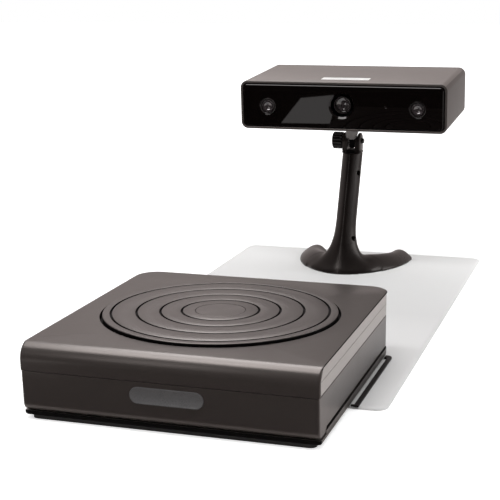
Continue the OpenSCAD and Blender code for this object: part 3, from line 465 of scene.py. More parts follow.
# Turntable housing, in mm from the platter's axis: a deck that rolls down the front, a paler band let
# into both sides and the rear, and a lower body that stands on the tray
house = {"width": 210.0, "depth": 223.0, "front": -114.0, "deckZ": 54.0, "seamZ": 35.4, "seamGap": 0.35,
         "seamEdge": 0.25, "rollTop": 11.0, "rollLow": 7.0, "lean": 1.5, "lowZ": 6.0, "lowR": 2.0,
         "rearR": 17.5, "cornerR": 1.8, "grooveZ": 10.8, "grooveStart": 18.0, "grooveRun": 0.8, "edgeR": 0.5,
         "lap": 0.55, "sideIn": 0.6, "wall": 2.4, "lineZ": 44.9, "lineDepth": 0.3, "slit": 0.45,
         "slitFront": 2.6, "slitDepth": 2.2, "wellR": 88.3, "wellDepth": 4.4, "hubR": 20.0}
cornerSteps, sideSteps, rearSteps, wellSteps = 6, 60, 20, 160
frontCount = 2 * (cornerSteps + 1)  # points of a ring that belong to the front and its two corners
faceTop = house["deckZ"] - house["rollTop"]
faceLow = house["lowZ"] + house["rollLow"]
lapZ = house["deckZ"] - house["lap"]


def frontAt(z):
    if z > faceTop:
        return roundIn(house["rollTop"], z - faceTop)
    if z >= faceLow:
        return house["lean"] * (faceTop - z) / (faceTop - faceLow)
    return house["lean"] + roundIn(house["rollLow"], faceLow - z)


def houseRing(z, inset, slit=False):
    side = house["width"] / 2 - inset
    y0 = house["front"] + frontAt(z)
    y1 = house["front"] + house["depth"] - inset
    corner, rear = house["cornerR"], house["rearR"] - inset
    bend = y0 + corner
    plan = arcPoints(-side + corner, bend, corner, 180, 270, cornerSteps)
    plan += arcPoints(side - corner, bend, corner, 270, 360, cornerSteps)
    along = [bend + house["slitFront"], bend + house["slitFront"] + 0.05]
    along += [y0 + (y1 - rear - y0) * k / sideSteps for k in range(3, sideSteps)]
    plan += [(side, y) for y in along]
    plan += arcPoints(side - rear, y1 - rear, rear, 0, 90, rearSteps)
    plan += arcPoints(-side + rear, y1 - rear, rear, 90, 180, rearSteps)
    plan += [(-side, y) for y in along[::-1]]
    if slit:  # the side band starts behind the wrap's corner
        deep = side - house["slitDepth"]
        plan[0], plan[frontCount - 1] = (-deep, bend), (deep, bend)
        plan[-1], plan[frontCount] = (-deep, along[0]), (deep, along[0])
    return [(x, y, z) for x, y in plan]


def wallPart(rings, front):
    return loft(rings, caps=False, keep=lambda j: (j < frontCount - 1) == front)


def deckLevels():
    start = house["seamZ"] + house["seamGap"] / 2
    straight = [start + (faceTop - house["seamZ"]) * k / 4 for k in range(4)]
    return straight + [faceTop + house["rollTop"] * math.sin(math.radians(90 * k / 16)) for k in range(17)]


def makeDeck():
    top, edge, well = house["deckZ"], house["edgeR"], house["wellR"]
    front = wallPart([houseRing(z, roundIn(edge, z - (top - edge))) for z in deckLevels()], True)
    drops = (house["lap"], edge, edge * 0.6, edge * 0.25, 0.0)
    rim = wallPart([houseRing(top - drop, roundIn(edge, edge - drop)) for drop in drops], False)
    under = wallPart([houseRing(lapZ, house["wall"]), houseRing(lapZ, 0)], False)
    mouth = [(x, y, top) for x, y in circlePoints(0, 0, well, wellSteps)]
    plate = plateWithHoles([houseRing(top, edge), mouth])
    floor, outer = top - house["wellDepth"], well + house["wall"]
    cup = lathe([(well, top), (well, floor), (house["hubR"], floor), (house["hubR"], floor - 2),
                 (outer, floor - 2), (outer, top - 1)], wellSteps)
    wrap = addPiece("deckWrap", joinShapes(front, rim, under, plate, cup), "deck", ["top_shell"], tableFrame)

    # Painted shade: the well's walls, faces that look down and a thin line along the deck's top edge at the
    # sides and rear get the near-black gap finish
    def shaded(p, n):
        inWell = math.hypot(p.x, p.y) < well + 0.2 and p.z < top - 0.6
        onEdge = p.z > top - 1.2 and n.z < 0.97 and p.y > house["front"] + house["cornerR"] + 0.4
        return inWell or n.z < -0.9 or onEdge and (abs(p.x) > house["width"] / 2 - 0.7 or p.y > 0)

    paintFaces(wrap, shaded, place=tableFrame)


def makeSideBand():
    low, slitZ, depth = house["seamZ"] + house["seamGap"] / 2, lapZ - house["slit"], house["slitDepth"]
    line, cut = house["lineZ"], house["lineDepth"]
    levels = [(low, house["seamEdge"]), (low + 0.3, 0), (line - 0.3, 0), (line - 0.15, cut),
              (line + 0.15, cut), (line + 0.3, 0), (slitZ, 0), (slitZ, depth), (lapZ, depth)]
    rings = [houseRing(z, house["sideIn"] + groove, slit=True) for z, groove in levels]
    inner = [houseRing(lapZ, house["wall"]), houseRing(low, house["wall"]),
             houseRing(low, house["sideIn"] + house["seamEdge"])]
    shape = joinShapes(wallPart(rings, False), wallPart(rings[-1:] + inner, False))
    band = addPiece("sideBand", shape, "side", ["top_shell"], tableFrame)
    # Painted shade: the faces inside the front slit and the recessed strip under the deck's lap get the
    # near-black gap finish
    slitX = house["width"] / 2 - house["sideIn"] - 0.5
    slitY = house["front"] + house["cornerR"] + house["slit"] + 3
    paintFaces(band, lambda p, n: abs(p.x) < slitX and p.y < slitY or p.z > slitZ - 0.01, place=tableFrame)


def makeLower():
    seam = house["seamZ"] - house["seamGap"] / 2
    zs = [house["lowZ"] + house["rollLow"] * (1 - math.cos(math.radians(90 * k / 12))) for k in range(13)]
    zs += [18, 24, 30, seam - 0.35, seam]
    rings = []
    for z in zs:
        inset = house["sideIn"] + roundIn(house["lowR"], house["lowZ"] + house["lowR"] - z)
        if z == seam:
            inset += house["seamEdge"]
        ring = []
        for x, y, _ in houseRing(z, inset):
            lift = (y - (house["front"] + house["grooveStart"])) / house["grooveRun"]
            rise = math.sqrt(1 - (1 - min(1.0, max(0.0, lift))) ** 2)
            ring.append((x, y, max(z, house["lowZ"] + (house["grooveZ"] - house["lowZ"]) * rise)))
        rings.append(ring)
    inner = [[(x * 0.975, y * 0.975 + 0.5, z) for x, y, z in ring] for ring in (rings[-1], rings[0])]
    shape = loft(rings + inner + rings[:1], caps=False)
    body = addPiece("lowerBody", shape, "deck", ["lower_shell"], tableFrame)
    # Painted shade: faces that look down, higher than 9 mm, get the near-black gap finish
    paintFaces(body, lambda p, n: n.z < -0.9 and p.z > 9, place=tableFrame)


# Tray: a rounded plate with a skirt round its sides and rear
tray = {"low": 2.6, "top": 9.1, "roll": 1.8, "front": 4.2, "frontR": 1.8, "lip": 17.6, "sideIn": 0.1,
        "plateTop": 5.9, "skirtLow": 5.4, "skirtWall": 2.4, "coreIn": 2.2, "coreBack": 1.4}


def trayRing(z, inset, front):
    side = house["width"] / 2 - inset
    y0, y1 = house["front"] + front, house["front"] + house["depth"] - inset
    corner, rear = tray["frontR"], house["rearR"] - inset
    plan = arcPoints(-side + corner, y0 + corner, corner, 180, 270, 10)
    plan += arcPoints(side - corner, y0 + corner, corner, 270, 360, 10)
    plan += arcPoints(side - rear, y1 - rear, rear, 0, 90, rearSteps)
    plan += arcPoints(-side + rear, y1 - rear, rear, 90, 180, rearSteps)
    return [(x, y, z) for x, y in plan]


def makeTray():
    top, side, low, wall = tray["top"], tray["sideIn"], tray["skirtLow"], tray["skirtWall"]
    rings = []
    for k in range(9):
        bend = math.radians(90 * k / 8)
        drawn = tray["roll"] * (1 - math.sin(bend))
        z = tray["low"] + tray["roll"] * (1 - math.cos(bend))
        rings.append(trayRing(z, drawn + side, tray["front"] + drawn))
    rings.append(trayRing(tray["plateTop"], side, tray["front"]))
    levels = ((low, side), (top - 0.4, side), (top, 0.5), (top, wall), (low, wall))
    skirt = [trayRing(z, inset, tray["lip"]) for z, inset in levels]
    ends, count = (5, 16), len(skirt[0])  # the skirt stops halfway round each front corner
    verts, faces = loft(skirt, caps=False, keep=lambda j: not ends[0] <= j < ends[1])
    faces += [tuple(i * count + j for i in range(len(skirt))) for j in ends]
    core = loft([trayRing(z, tray["coreIn"], tray["lip"] + tray["coreBack"])
                 for z in (top - 1.5, house["grooveZ"] + 0.9)], caps=False)
    shape = joinShapes(loft(rings), (verts, faces), core)
    body = addPiece("trayBody", shape, "tray", ["base_tray"], tableFrame, smooth=35)
    # Painted shade: the tray's top and its front strip, which lie under the housing's overhang, get the
    # near-black gap finish
    lipY = house["front"] + tray["lip"] - 0.5
    paintFaces(body, lambda p, n: p.z > top - 0.2 or p.y < lipY, place=tableFrame)


# Slotted flange rails on both sides of the tray
rail = {"x": 105.05, "out": 5.6, "y": -29.5, "length": 121.0, "low": 2.02, "thick": 1.4, "r": 5.0,
        "slot": 2.2, "slotR": 0.5, "frontWeb": 1.8, "rearWeb": 6.5, "soft": 0.3}


def makeRails():
    x0, x1, x2 = rail["x"], rail["x"] + rail["slot"], rail["x"] + rail["out"]
    y0, y1 = rail["y"], rail["y"] + rail["length"]
    r, bend, web, back = rail["r"], rail["slotR"], y0 + rail["frontWeb"], y1 - rail["rearWeb"]
    outer = [(x0, y0), (x2, y0)] + arcPoints(x2 - r, y1 - r, r, 0, 90, 10) + [(x0, y1)]
    inner = [(x0, web), (x1 - 0.3, web), (x1, web + 0.3)]
    inner += arcPoints(x1 - bend, back - bend, bend, 0, 90, 4) + [(x0, back)]
    outline = outer + inner[::-1]
    levels = (rail["low"], rail["low"] + rail["thick"])
    rails = joinShapes(*(loft([[(side * x, y, z) for x, y in outline] for z in levels]) for side in (1, -1)))
    addPiece("flangeRails", rails, "flange", ["locating_flanges"], tableFrame, bevel=rail["soft"])


# Bare badge let into the leaning front
badge = {"width": 52.0, "height": 11.6, "x": 1.0, "z": 26.0, "thick": 0.8, "lip": 0.7}


def makeBadge():
    thick, lip, height = badge["thick"], badge["lip"], badge["height"]
    slope = math.atan(house["lean"] / (faceTop - faceLow))
    spot = Matrix.Translation((badge["x"], house["front"] + frontAt(badge["z"]), badge["z"]))
    levels = [(0.3, 0), (-0.5, 0), (-0.72, 0.1), (-thick, 0.3), (-thick, lip), (-0.6, lip + 0.25)]
    shape = loft(slabRings(badge["width"], height, height / 2 - 0.01, levels, 14))
    place = tableFrame @ spot @ Matrix.Rotation(-slope, 4, "X")
    addPiece("badgePlate", shape, "badge", ["front_badge"], place, smooth=40)


# Platter with ring grooves, and the disc let into its centre
platter = {"r": 86.3, "top": 56.0, "low": 50.5, "bore": 12.0, "edgeR": 0.7, "discR": 18.2, "seat": 1.5,
           "ringR": (28.4, 44.0, 61.4, 80.0), "ringW": 1.1, "ringD": 1.6, "soft": 0.4}


def makePlatter():
    r, top, low, soft, edge = (platter[key] for key in ("r", "top", "low", "soft", "edgeR"))
    disc, bore, seat = platter["discR"], platter["bore"], top - platter["seat"]
    profile = [(bore, low), (r - 1.0, low), (r, low + 1.0), (r, top - 0.75)]
    profile += [(r - edge + edge * math.cos(math.radians(a)), top - edge + edge * math.sin(math.radians(a)))
                for a in (15, 35, 55, 75, 90)]
    for middle in platter["ringR"][::-1]:
        for way in (1, -1):  # the ring's outer wall, then its inner one
            wall, tip = middle + way * platter["ringW"] / 2, soft * 0.3
            cut = [(wall + way * soft, top), (wall + way * tip, top - tip), (wall, top - soft),
                   (wall, top - platter["ringD"])]
            profile += cut[::way]
    profile += [(disc + 0.45, top), (disc + 0.15, top - 0.2), (disc + 0.15, seat), (bore, seat), (bore, low)]
    plate = addPiece("platterDisc", lathe(profile, 192), "platter", ["platter"], tableFrame, smooth=25)
    # Painted shade: the walls of the ring grooves and of the centre recess, and the platter's side below its
    # rim, get the near-black gap finish
    paintFaces(plate, lambda p, n: p.z < top - 0.03 and math.hypot(p.x, p.y) < r - 1.0 or p.z < top - 0.5,
               place=tableFrame)
    face = top - 0.02
    profile = [(axisR, seat), (disc, seat), (disc, top - 0.35), (disc - 0.05, top - 0.1), (disc - 0.2, face),
               (axisR, face)]
    addPiece("platterCentre", lathe(profile, 128), "platter", ["centre_disc"], tableFrame, smooth=25)


# Stiff sheet that sets the distance, with thinned edges
sheet = {"width": 254.0, "front": -209.0, "rear": 281.0, "r": 9.0, "thick": 2.0, "taper": 2.6}


def makeSheet():
    length, middle, top = sheet["rear"] - sheet["front"], (sheet["rear"] + sheet["front"]) / 2, sheet["thick"]
    levels = ((0.0, 0.3), (0.3, 0.0), (1.0, 0.5), (top - 0.1, sheet["taper"]), (top, sheet["taper"] + 1.5))
    rings = []
    for z, inset in levels:
        plan = roundRect(sheet["width"] - 2 * inset, length - 2 * inset, sheet["r"] - inset, 12)
        rings.append([(x, middle + y, z) for x, y in plan])
    addPiece("sheetBody", loft(rings), "sheet", ["positioning_sheet"], smooth=40)


makeSheet()
makeDeck()
makeSideBand()
makeLower()
makeTray()
makeRails()
makeBadge()
makePlatter()
print("turntable and sheet made")

# Stand: a crescent foot of two arms that runs up into the pole
foot = {"y": 166.0, "z": 0.5, "armA": 59.0, "armB": 91.0, "armIn": 33.0, "front": 44.0, "sweep": 97.0,
        "ease": 1.05, "squash": 0.06, "blunt": 0.9, "edge": 3.0, "tipH": 10.2, "tipStart": 0.92,
        "knuckle": 0.5, "midH": 17.5}
pole = {"y": 182.4, "lean": 0.392, "wide": 10.45, "deep": 11.5, "low": 4.0, "top": 117.0, "flareH": 54.0,
        "flareX": 25.0, "flareY": 6.0, "flareBack": 2.5, "flarePower": 3.4, "ridge": 2.8, "ridgeW": 4.4,
        "flat": 0.86, "parting": 0.06, "screwZ": (34.0, 97.0), "screwY": -3.2, "drillR": 2.8}
# How the two are blended: voxel size, rounds of smoothing, and rounds up to given heights
blend = {"voxel": 1.05, "settle": 7, "rounds": ((46, 6), (38, 10), (30, 26)), "floor": 0.7, "halfX": 40.0,
         "rearY": 202.0}


def roundedEnd(along, start, least):
    past = max(0.0, (along - start) / (1 - start))
    return max(least, math.sqrt(max(0.0, 1 - past ** 2)))


def armRing(angle, steps=16):
    turn, reach = math.radians(angle), foot["armB"]
    s, c = math.sin(turn), math.cos(turn)
    wide = math.copysign(abs(s) ** foot["ease"], s)
    outer = (foot["armA"] * wide, foot["y"] + reach - reach * c * (1 - foot["squash"] * s * s * c))
    inner = (foot["armIn"] * wide, foot["y"] + reach + 2 - (reach + 2 - foot["front"]) * c)
    along = abs(angle) / foot["sweep"]
    pinch = roundedEnd(along, foot["blunt"], 0.3)
    centre = [(a + b) / 2 for a, b in zip(outer, inner)]
    outer, inner = [tuple(m + (v - m) * pinch for v, m in zip(end, centre)) for end in (outer, inner)]
    middle = max(0.0, math.cos(math.radians(angle * 90 / foot["sweep"])))
    knuckle = foot["knuckle"] * math.exp(-((along - 0.9) / 0.1) ** 2)
    height = foot["tipH"] + (foot["midH"] - foot["tipH"]) * middle ** 1.5 + knuckle
    tip = roundedEnd(along, foot["tipStart"], 0.6)
    ring = [(*outer, foot["z"])]
    for k in range(steps + 1):
        across = k / steps
        swell = math.sin(math.pi * across ** 1.15) ** 0.85 * (0.25 + 0.75 * tip)
        z = foot["edge"] * tip + foot["z"] + (height - foot["edge"]) * swell
        ring.append((*(a + (b - a) * across for a, b in zip(outer, inner)), z))
    return ring + [(*inner, foot["z"])]


def poleRing(z, steps=48):
    flare = max(0.0, 1 - (z - pole["low"]) / pole["flareH"]) ** pole["flarePower"]
    wide, deep = pole["wide"] + pole["flareX"] * flare, pole["deep"] + pole["flareY"] * flare
    middle = pole["y"] + pole["lean"] * z + pole["flareBack"] * flare
    ring = []
    for k in range(steps):
        turn = 2 * math.pi * k / steps
        x, y = wide * math.cos(turn), deep * math.sin(turn)
        if y < 0:  # the front narrows to a ridge
            ridge = (pole["ridge"] + 3 * flare) * math.exp(-(x / (pole["ridgeW"] + 9 * flare)) ** 2)
            y = -deep * pole["flat"] * (-math.sin(turn)) ** 1.35 - ridge
        ring.append((x, middle + y, z))
    return ring


def bakeMesh(obj):
    graph = bpy.context.evaluated_depsgraph_get()
    mesh = bpy.data.meshes.new_from_object(obj.evaluated_get(graph))
    old = obj.data
    bpy.data.objects.remove(obj)
    bpy.data.meshes.remove(old)
    return mesh


def smoothVerts(bm, verts, rounds):
    for _ in range(rounds):
        bmesh.ops.smooth_vert(bm, verts=verts, factor=0.5, use_axis_x=True, use_axis_y=True, use_axis_z=True)


def makeStand():
    sweep, low, top = foot["sweep"], pole["low"], pole["top"]
    arms = loft([armRing(-sweep + 2 * sweep * k / 72) for k in range(73)])
    column = loft([poleRing(low + (top + 1 - low) * (k / 40) ** 1.25) for k in range(41)])
    blank = linkObject("standBlank", shapeMesh("standBlank", joinShapes(arms, column), weld=False))
    remesh = blank.modifiers.new("remesh", "REMESH")
    remesh.mode = "VOXEL"
    remesh.voxel_size = blend["voxel"] * mm
    remesh.adaptivity = 0.0
    mesh = bakeMesh(blank)
    halves = ((-1, "standLeft", ["pole_left", "stand_foot"]), (1, "standRight", ["pole_right"]))
    for side, name, replaced in halves:
        bm = bmesh.new()
        bm.from_mesh(mesh)
        smoothVerts(bm, bm.verts, blend["settle"])
        for reach, rounds in blend["rounds"]:
            corner = [v for v in bm.verts if blend["floor"] * mm < v.co.z < reach * mm
                      and abs(v.co.x) < blend["halfX"] * mm and v.co.y < blend["rearY"] * mm]
            smoothVerts(bm, corner, rounds)
        for vert in bm.verts:
            vert.co.z = min(max(vert.co.z, foot["z"] * mm), top * mm)
        geom = list(bm.verts) + list(bm.edges) + list(bm.faces)
        bmesh.ops.bisect_plane(bm, geom=geom, plane_co=(side * pole["parting"] * mm, 0, 0),
                               plane_no=(-side, 0, 0), clear_outer=True)
        bmesh.ops.triangle_fill(bm, use_beauty=True, edges=[e for e in bm.edges if e.is_boundary])
        bmesh.ops.recalc_face_normals(bm, faces=bm.faces)
        half = bpy.data.meshes.new(name)
        bm.to_mesh(half)
        bm.free()
        if side > 0:
            half = drillHalf(half)
        dressPiece(name, half, "stand", replaced, smooth=60)
    bpy.data.meshes.remove(mesh)


def screwSpots():
    return [(0, pole["y"] + pole["lean"] * z + pole["screwY"], z) for z in pole["screwZ"]]


def drillHalf(mesh):
    obj = linkObject("drilled", mesh)
    cutters = []
    for spot in screwSpots():
        bore = [(axisR, 5.0), (pole["drillR"], 5.0), (pole["drillR"], 30.0), (axisR, 30.0)]
        cutter = linkObject("drill", shapeMesh("drill", lathe(bore, 32, "X", spot), weld=False))
        cut = obj.modifiers.new("drill", "BOOLEAN")
        cut.operation = "DIFFERENCE"
        cut.solver = "EXACT"
        cut.object = cutter
        cutters.append(cutter)
    drilled = bakeMesh(obj)
    for cutter in cutters:
        bpy.data.objects.remove(cutter)
    return drilled


def makeStandScrews():
    profile = [(axisR, 6.4), (0.9, 6.4), (1.1, 6.9), (2.2, 6.8), (2.5, 6.3), (2.5, 5.2), (1.3, 5.0),
               (1.3, -6.0), (axisR, -6.4)]
    screws = joinShapes(*(lathe(profile, 32, "X", spot) for spot in screwSpots()))
    addPiece("standScrewSet", screws, "screw", ["stand_screws"])


makeStand()
makeStandScrews()
print("stand made")

# Tilt joint: yoke on the pole, ribbed knob, bolt, and the lug under the head
joint = {"lugT": 7.0, "gap": 0.3, "earT": 5.5, "earR": 8.4, "earFoot": 9.4, "earLean": 0.45,
         "baseDepth": 17.5, "baseR": 5.5, "boltR": 2.5, "boltOut": 7.5, "knobR": 8.7, "knobW": 10.5,
         "knobGap": 0.3, "ribs": 15, "ribDepth": 1.3}
earIn = joint["lugT"] / 2 + joint["gap"]
earOut = earIn + joint["earT"]


def makeYoke():
    shapes = []
    levels = ((earIn, 0.35), (earIn + 0.35, 0), (earOut - 1.3, 0), (earOut - 0.5, 0.35), (earOut, 1.2))
    for side in (-1, 1):
        rings = []
        for x, inset in levels:
            r = joint["earR"] - inset
            outline = arcPoints(0, 0, r, -10, 190, 28)
            outline += [(-r + 0.2, -joint["earFoot"]), (r - 0.2, -joint["earFoot"])]
            rings.append([(side * x, hingeY + y, hingeZ + z) for y, z in outline])
        verts, faces = loft(rings)
        verts = [(x + side * joint["earLean"] * max(0.0, z - hingeZ - 1) if abs(x) < earIn + 0.5 else x, y, z)
                 for x, y, z in verts]
        shapes.append((verts, faces))
    middle = (hingeY + pole["y"] + pole["lean"] * pole["top"]) / 2
    base = []
    for z, grow in ((117.02, 0.8), (118.4, 0.5), (119.4, 0.1), (120.0, -0.5)):
        plan = roundRect(2 * (earOut + 0.1 + grow), joint["baseDepth"] + 2 * grow, joint["baseR"], 8)
        base.append([(x, middle + y, z) for x, y in plan])
    yoke = addPiece("yokeBody", joinShapes(*shapes, loft(base)), "stand", ["yoke"], smooth=35)
    # Painted shade: the inner faces of the ears and the upward faces of the base below them get the
    # near-black gap finish
    ledgeZ = hingeZ - joint["earR"]
    paintFaces(yoke, lambda p, n: abs(p.x) < earIn + 0.1 or n.z > 0.5 and p.z < ledgeZ)


def makeKnob():
    wide, start, rings = joint["knobW"], earOut + joint["knobGap"], []
    levels = ((0, 0.5), (0.5, 0.0), (wide - 1.0, 0.0), (wide - 0.35, 0.35), (wide, 1.1), (wide, 2.6),
              (wide - 0.5, 3.0))
    count = joint["ribs"] * 10
    for depth, shrink in levels:
        ribbed = 0.3 < depth < wide - 0.5 and shrink < 0.4
        ring = []
        for k in range(count):
            turn = 2 * math.pi * k / count
            wave = max(-1, min(1, math.cos(turn * joint["ribs"]) * 1.8))
            cut = joint["ribDepth"] * (0.5 - 0.5 * wave) if ribbed else 0.5
            r = joint["knobR"] - shrink - cut
            ring.append((-start - depth, hingeY + r * math.cos(turn), hingeZ + r * math.sin(turn)))
        rings.append(ring)
    knob = addPiece("knobBody", loft(rings), "black", ["tilt_knob"], smooth=28)
    # Painted shade: the faces in the valleys between the ribs get the near-black gap finish
    grooveR = joint["knobR"] - 0.85
    paintFaces(knob, lambda p, n: math.hypot(p.y - hingeY, p.z - hingeZ) < grooveR and abs(n.x) < 0.5)


def makeBolt():
    r, end = joint["boltR"], -earOut - joint["boltOut"]
    profile = [(axisR, end), (r, end), (r, earOut), (3.3, earOut), (3.4, earOut + 0.3), (3.4, earOut + 0.7),
               (2.6, earOut + 0.9), (2.5, earOut + 2.2), (2.1, earOut + 2.6), (axisR, earOut + 2.6)]
    bolt = addPiece("boltBody", lathe(profile, 48, "X", (0, hingeY, hingeZ)), "steel", ["tilt_bolt"])
    paintFaces(bolt, lambda p, n: p.x > earOut + 0.4, "black")


# Half widths of the lug at heights below the head, in an upper and a lower part
lug = {"upper": [(7.4, 0.0), (6.1, -8.4), (2.75, -16.6)],
       "lower": [(2.75, -16.6), (2.75, -lugDrop - 6.0), (1.9, -lugDrop - 7.0)], "halfDepth": 4.4, "soft": 0.5}


def makeLug():
    shapes = []
    for part in (lug["upper"], lug["lower"]):
        right = [(x, z - headHeight / 2) for x, z in part]
        outline = right + [(-x, z) for x, z in right[::-1]]
        shapes.append(loft([[(x, lugY + way * lug["halfDepth"], z) for x, z in outline] for way in (-1, 1)]))
    piece = addPiece("lugBody", joinShapes(*shapes), "lug", ["tilt_lug"], headFrame, bevel=lug["soft"])
    # Painted shade: the lug below the hinge axis, under the head, gets the near-black gap finish
    paintFaces(piece, lambda p, n: p.z < hingeZ + 1.0)


makeYoke()
makeKnob()
makeBolt()
makeLug()
print("tilt joint made")

# Head: depths along Y from its front, heights from its middle
head = {"width": 207.2, "depth": 115.8, "r": 7.0, "wall": 2.2, "rear": 3.0, "bezelSide": 3.2,
        "bezelBand": 2.9, "bezelBack": 5.3, "bezelR": 3.6, "glassIn": -0.4, "glassT": 3.2, "glassR": 3.5,
        "glassGap": 0.3, "glassEdge": 0.95}
optics = {"x": 75.2, "z": -0.8, "bodyR": 8.0, "bowlR": 6.15, "bowlRim": 5.5, "bowlDrop": 2.75, "projZ": 1.2,
          "projIn": 3.3, "projHole": 11.4, "sensorX": 44.0, "sensorHole": 1.2}
topPlate = {"width": 48.0, "depth": 12.0, "x": -1.0, "y": 23.0, "r": 1.0, "thick": 0.4}
mouthWidth = head["width"] - 2 * head["bezelSide"]
mouthHeight = headHeight - 2 * head["bezelBand"]


def makeSleeve():
    back, wall = head["depth"] - head["rear"], head["wall"]
    levels = [(back, 0), (0.9, 0), (0.35, 0.15), (0.08, 0.5), (0, 0.9), (0, wall - 0.3), (0.3, wall),
              (back, wall)]
    rings = slabRings(head["width"], headHeight, head["r"], levels, 12)
    shape = loft(rings + rings[:1], caps=False)
    sleeve = addPiece("sleeveShell", shape, "sleeve", ["head_sleeve"], headFrame, smooth=35)
    # Painted shade: the sides and the front rim get the darker copy of the sleeve paint
    paintFaces(sleeve, lambda p, n: abs(n.x) > 0.7 or p.y < 0.92, "sleeveShade", headFrame)


def makeBezel():
    gap, back = 2 * head["wall"] + 0.1, head["bezelBack"]
    seat = head["glassIn"] + head["glassT"] + 0.2
    rings = slabRings(head["width"] - gap, headHeight - gap, head["r"] - head["wall"],
                      [(back, 0), (0.7, 0), (0.35, 0.25)], 12)
    rings += slabRings(mouthWidth, mouthHeight, head["bezelR"],
                       [(0.35, -0.2), (0.5, -0.05), (0.6, 0), (seat, 0), (seat, 1.5), (back, 1.5)], 12)
    shape = loft(rings + rings[:1], caps=False)
    addPiece("bezelFrame", shape, "rim", ["front_bezel"], headFrame, smooth=35)


def makeGlass():
    width, height = mouthWidth - head["glassGap"], mouthHeight - head["glassGap"]
    front, edge, r = head["glassIn"], head["glassEdge"], head["glassR"]
    back, bodyHole = front + head["glassT"], optics["bodyR"] + 0.2
    holes = [(0, optics["projZ"], optics["projHole"], 1.7), (-optics["x"], optics["z"], bodyHole, 0.5),
             (optics["x"], optics["z"], bodyHole, 0.5),
             (optics["sensorX"], optics["projZ"], optics["sensorHole"], 0.2)]
    loops = [roundRect(width - 2 * edge, height - 2 * edge, r - edge, 10)]
    loops += [circlePoints(x, z, hole + chamfer, 64) for x, z, hole, chamfer in holes]
    face = plateWithHoles([[(x, front, z) for x, z in loop] for loop in loops])
    shapes = [face, ([(x, back, z) for x, _, z in face[0]], face[1])]
    levels = [(front, edge), (front + 0.75, 0.15), (front + 1.0, 0), (back - 0.05, 0), (back, edge)]
    shapes.append(loft(slabRings(width, height, r, levels, 10), caps=False))
    for x, z, hole, chamfer in holes:
        wide = hole + chamfer
        profile = [(wide, front), (hole, front + chamfer), (hole, back - 0.05), (wide, back)]
        shapes.append(lathe(profile, 64, "Y", (x, 0, z)))
    addPiece("frontGlass", joinShapes(*shapes), "glass", ["glass_panel"], headFrame)


def makeTopPlate():
    rings = []
    for rise, inset in ((0.0, 0), (topPlate["thick"] - 0.12, 0), (topPlate["thick"], 0.12)):
        plan = roundRect(topPlate["width"] - 2 * inset, topPlate["depth"] - 2 * inset, topPlate["r"], 5)
        rings.append([(topPlate["x"] + x, topPlate["y"] + y, headHeight / 2 + rise) for x, y in plan])
    addPiece("topPlate", loft(rings), "label", ["top_badge"], headFrame)


def makeCamera(side, name):
    centre, face = (side * optics["x"], 0, optics["z"]), head["glassIn"]
    body = [(4.2, 16), (4.2, face + 5.0), (5.65, face + 4.9), (5.65, face + 0.9), (6.0, face + 0.7),
            (6.2, face + 1.3), (7.0, face + 1.3), (7.1, face + 0.3), (7.3, face + 0.05), (7.6, face),
            (7.9, face + 0.15), (8.0, face + 0.5), (8.0, 21.8), (4.2, 21.8), (4.2, 16)]
    shape = lathe(body, 72, "Y", centre)
    addPiece(name + "CameraBody", shape, "ring", [name + "_camera"], headFrame, smooth=24)
    lens = []
    for k in range(15):
        r = optics["bowlRim"] * k / 14
        bowl = math.sqrt(optics["bowlR"] ** 2 - r ** 2) - optics["bowlDrop"]
        lens.append((max(axisR, r), face + 0.9 + bowl))
    lens += [(5.6, face + 1.2), (5.6, face + 4.8), (axisR, face + 4.8)]
    addPiece(name + "CameraLens", lathe(lens, 64, "Y", centre), "lens", [name + "_lens"], headFrame)


def makeProjector():
    centre, face = (0, 0, optics["projZ"]), optics["projIn"]
    body = [(5.4, 33), (5.4, face + 8), (5.8, face + 7.6), (5.9, face + 6.0), (6.5, face + 5.6),
            (6.6, face + 3.4), (7.0, face + 3.1), (7.05, face + 0.6), (7.4, face + 0.1), (8.3, face),
            (8.7, face + 0.3), (8.8, face + 0.8), (8.8, 32.8), (5.4, 32.8)]
    shape = lathe(body, 80, "Y", centre)
    addPiece("projectorBody", shape, "ring", ["projector_barrel"], headFrame, smooth=24)
    lens = [(axisR, face + 6.0), (2.6, face + 5.9), (2.9, face + 5.6), (4.4, face + 4.95), (5.4, face + 4.5),
            (6.4, face + 3.95), (6.45, face + 5.6), (6.0, face + 7.9), (axisR, face + 7.9)]
    addPiece("projectorFrontLens", lathe(lens, 72, "Y", centre), "lens", ["projector_lens"], headFrame)


makeSleeve()
makeBezel()
makeGlass()
makeTopPlate()
makeCamera(-1, "left")
makeCamera(1, "right")
makeProjector()
print("head made")

# Stage: pale floor, cards that only the reflections see, sky and lamps; places in metres
floorLook = {"half": 6.0, "color": (0.86, 0.86, 0.86, 1), "rough": 0.9, "shadeStart": 0.12, "shadeEnd": 0.6,
             "liftNear": 0.28, "liftFar": 0.9, "bounce": (0.88, 0.82, 0.80, 1)}
sky = {"start": -0.45, "end": 0.55, "front": 0.05, "back": 0.52, "fill": 0.66, "warm": (1.0, 0.87, 0.84, 1)}
# frontCard paints dark reflections of the floor in front; patchCard glows to paint a bright reflection patch
# into the head's glass
cards = {
    "frontCard": {"corners": [(-3, -4), (3, -4), (3, -0.3), (-3, -0.3)], "z": 0.0012, "shader": {
        "Base Color": (0.01, 0.01, 0.01, 1), "Roughness": 1.0, "Specular IOR Level": 0.0}},
    "patchCard": {"corners": [(-0.231, -0.384), (-0.244, -0.542), (-0.190, -0.571), (-0.158, -0.388)],
                  "z": 0.002, "shader": {"Base Color": (0, 0, 0, 1), "Emission Color": (1, 0.96, 0.95, 1),
                                         "Emission Strength": 1.42}},
}
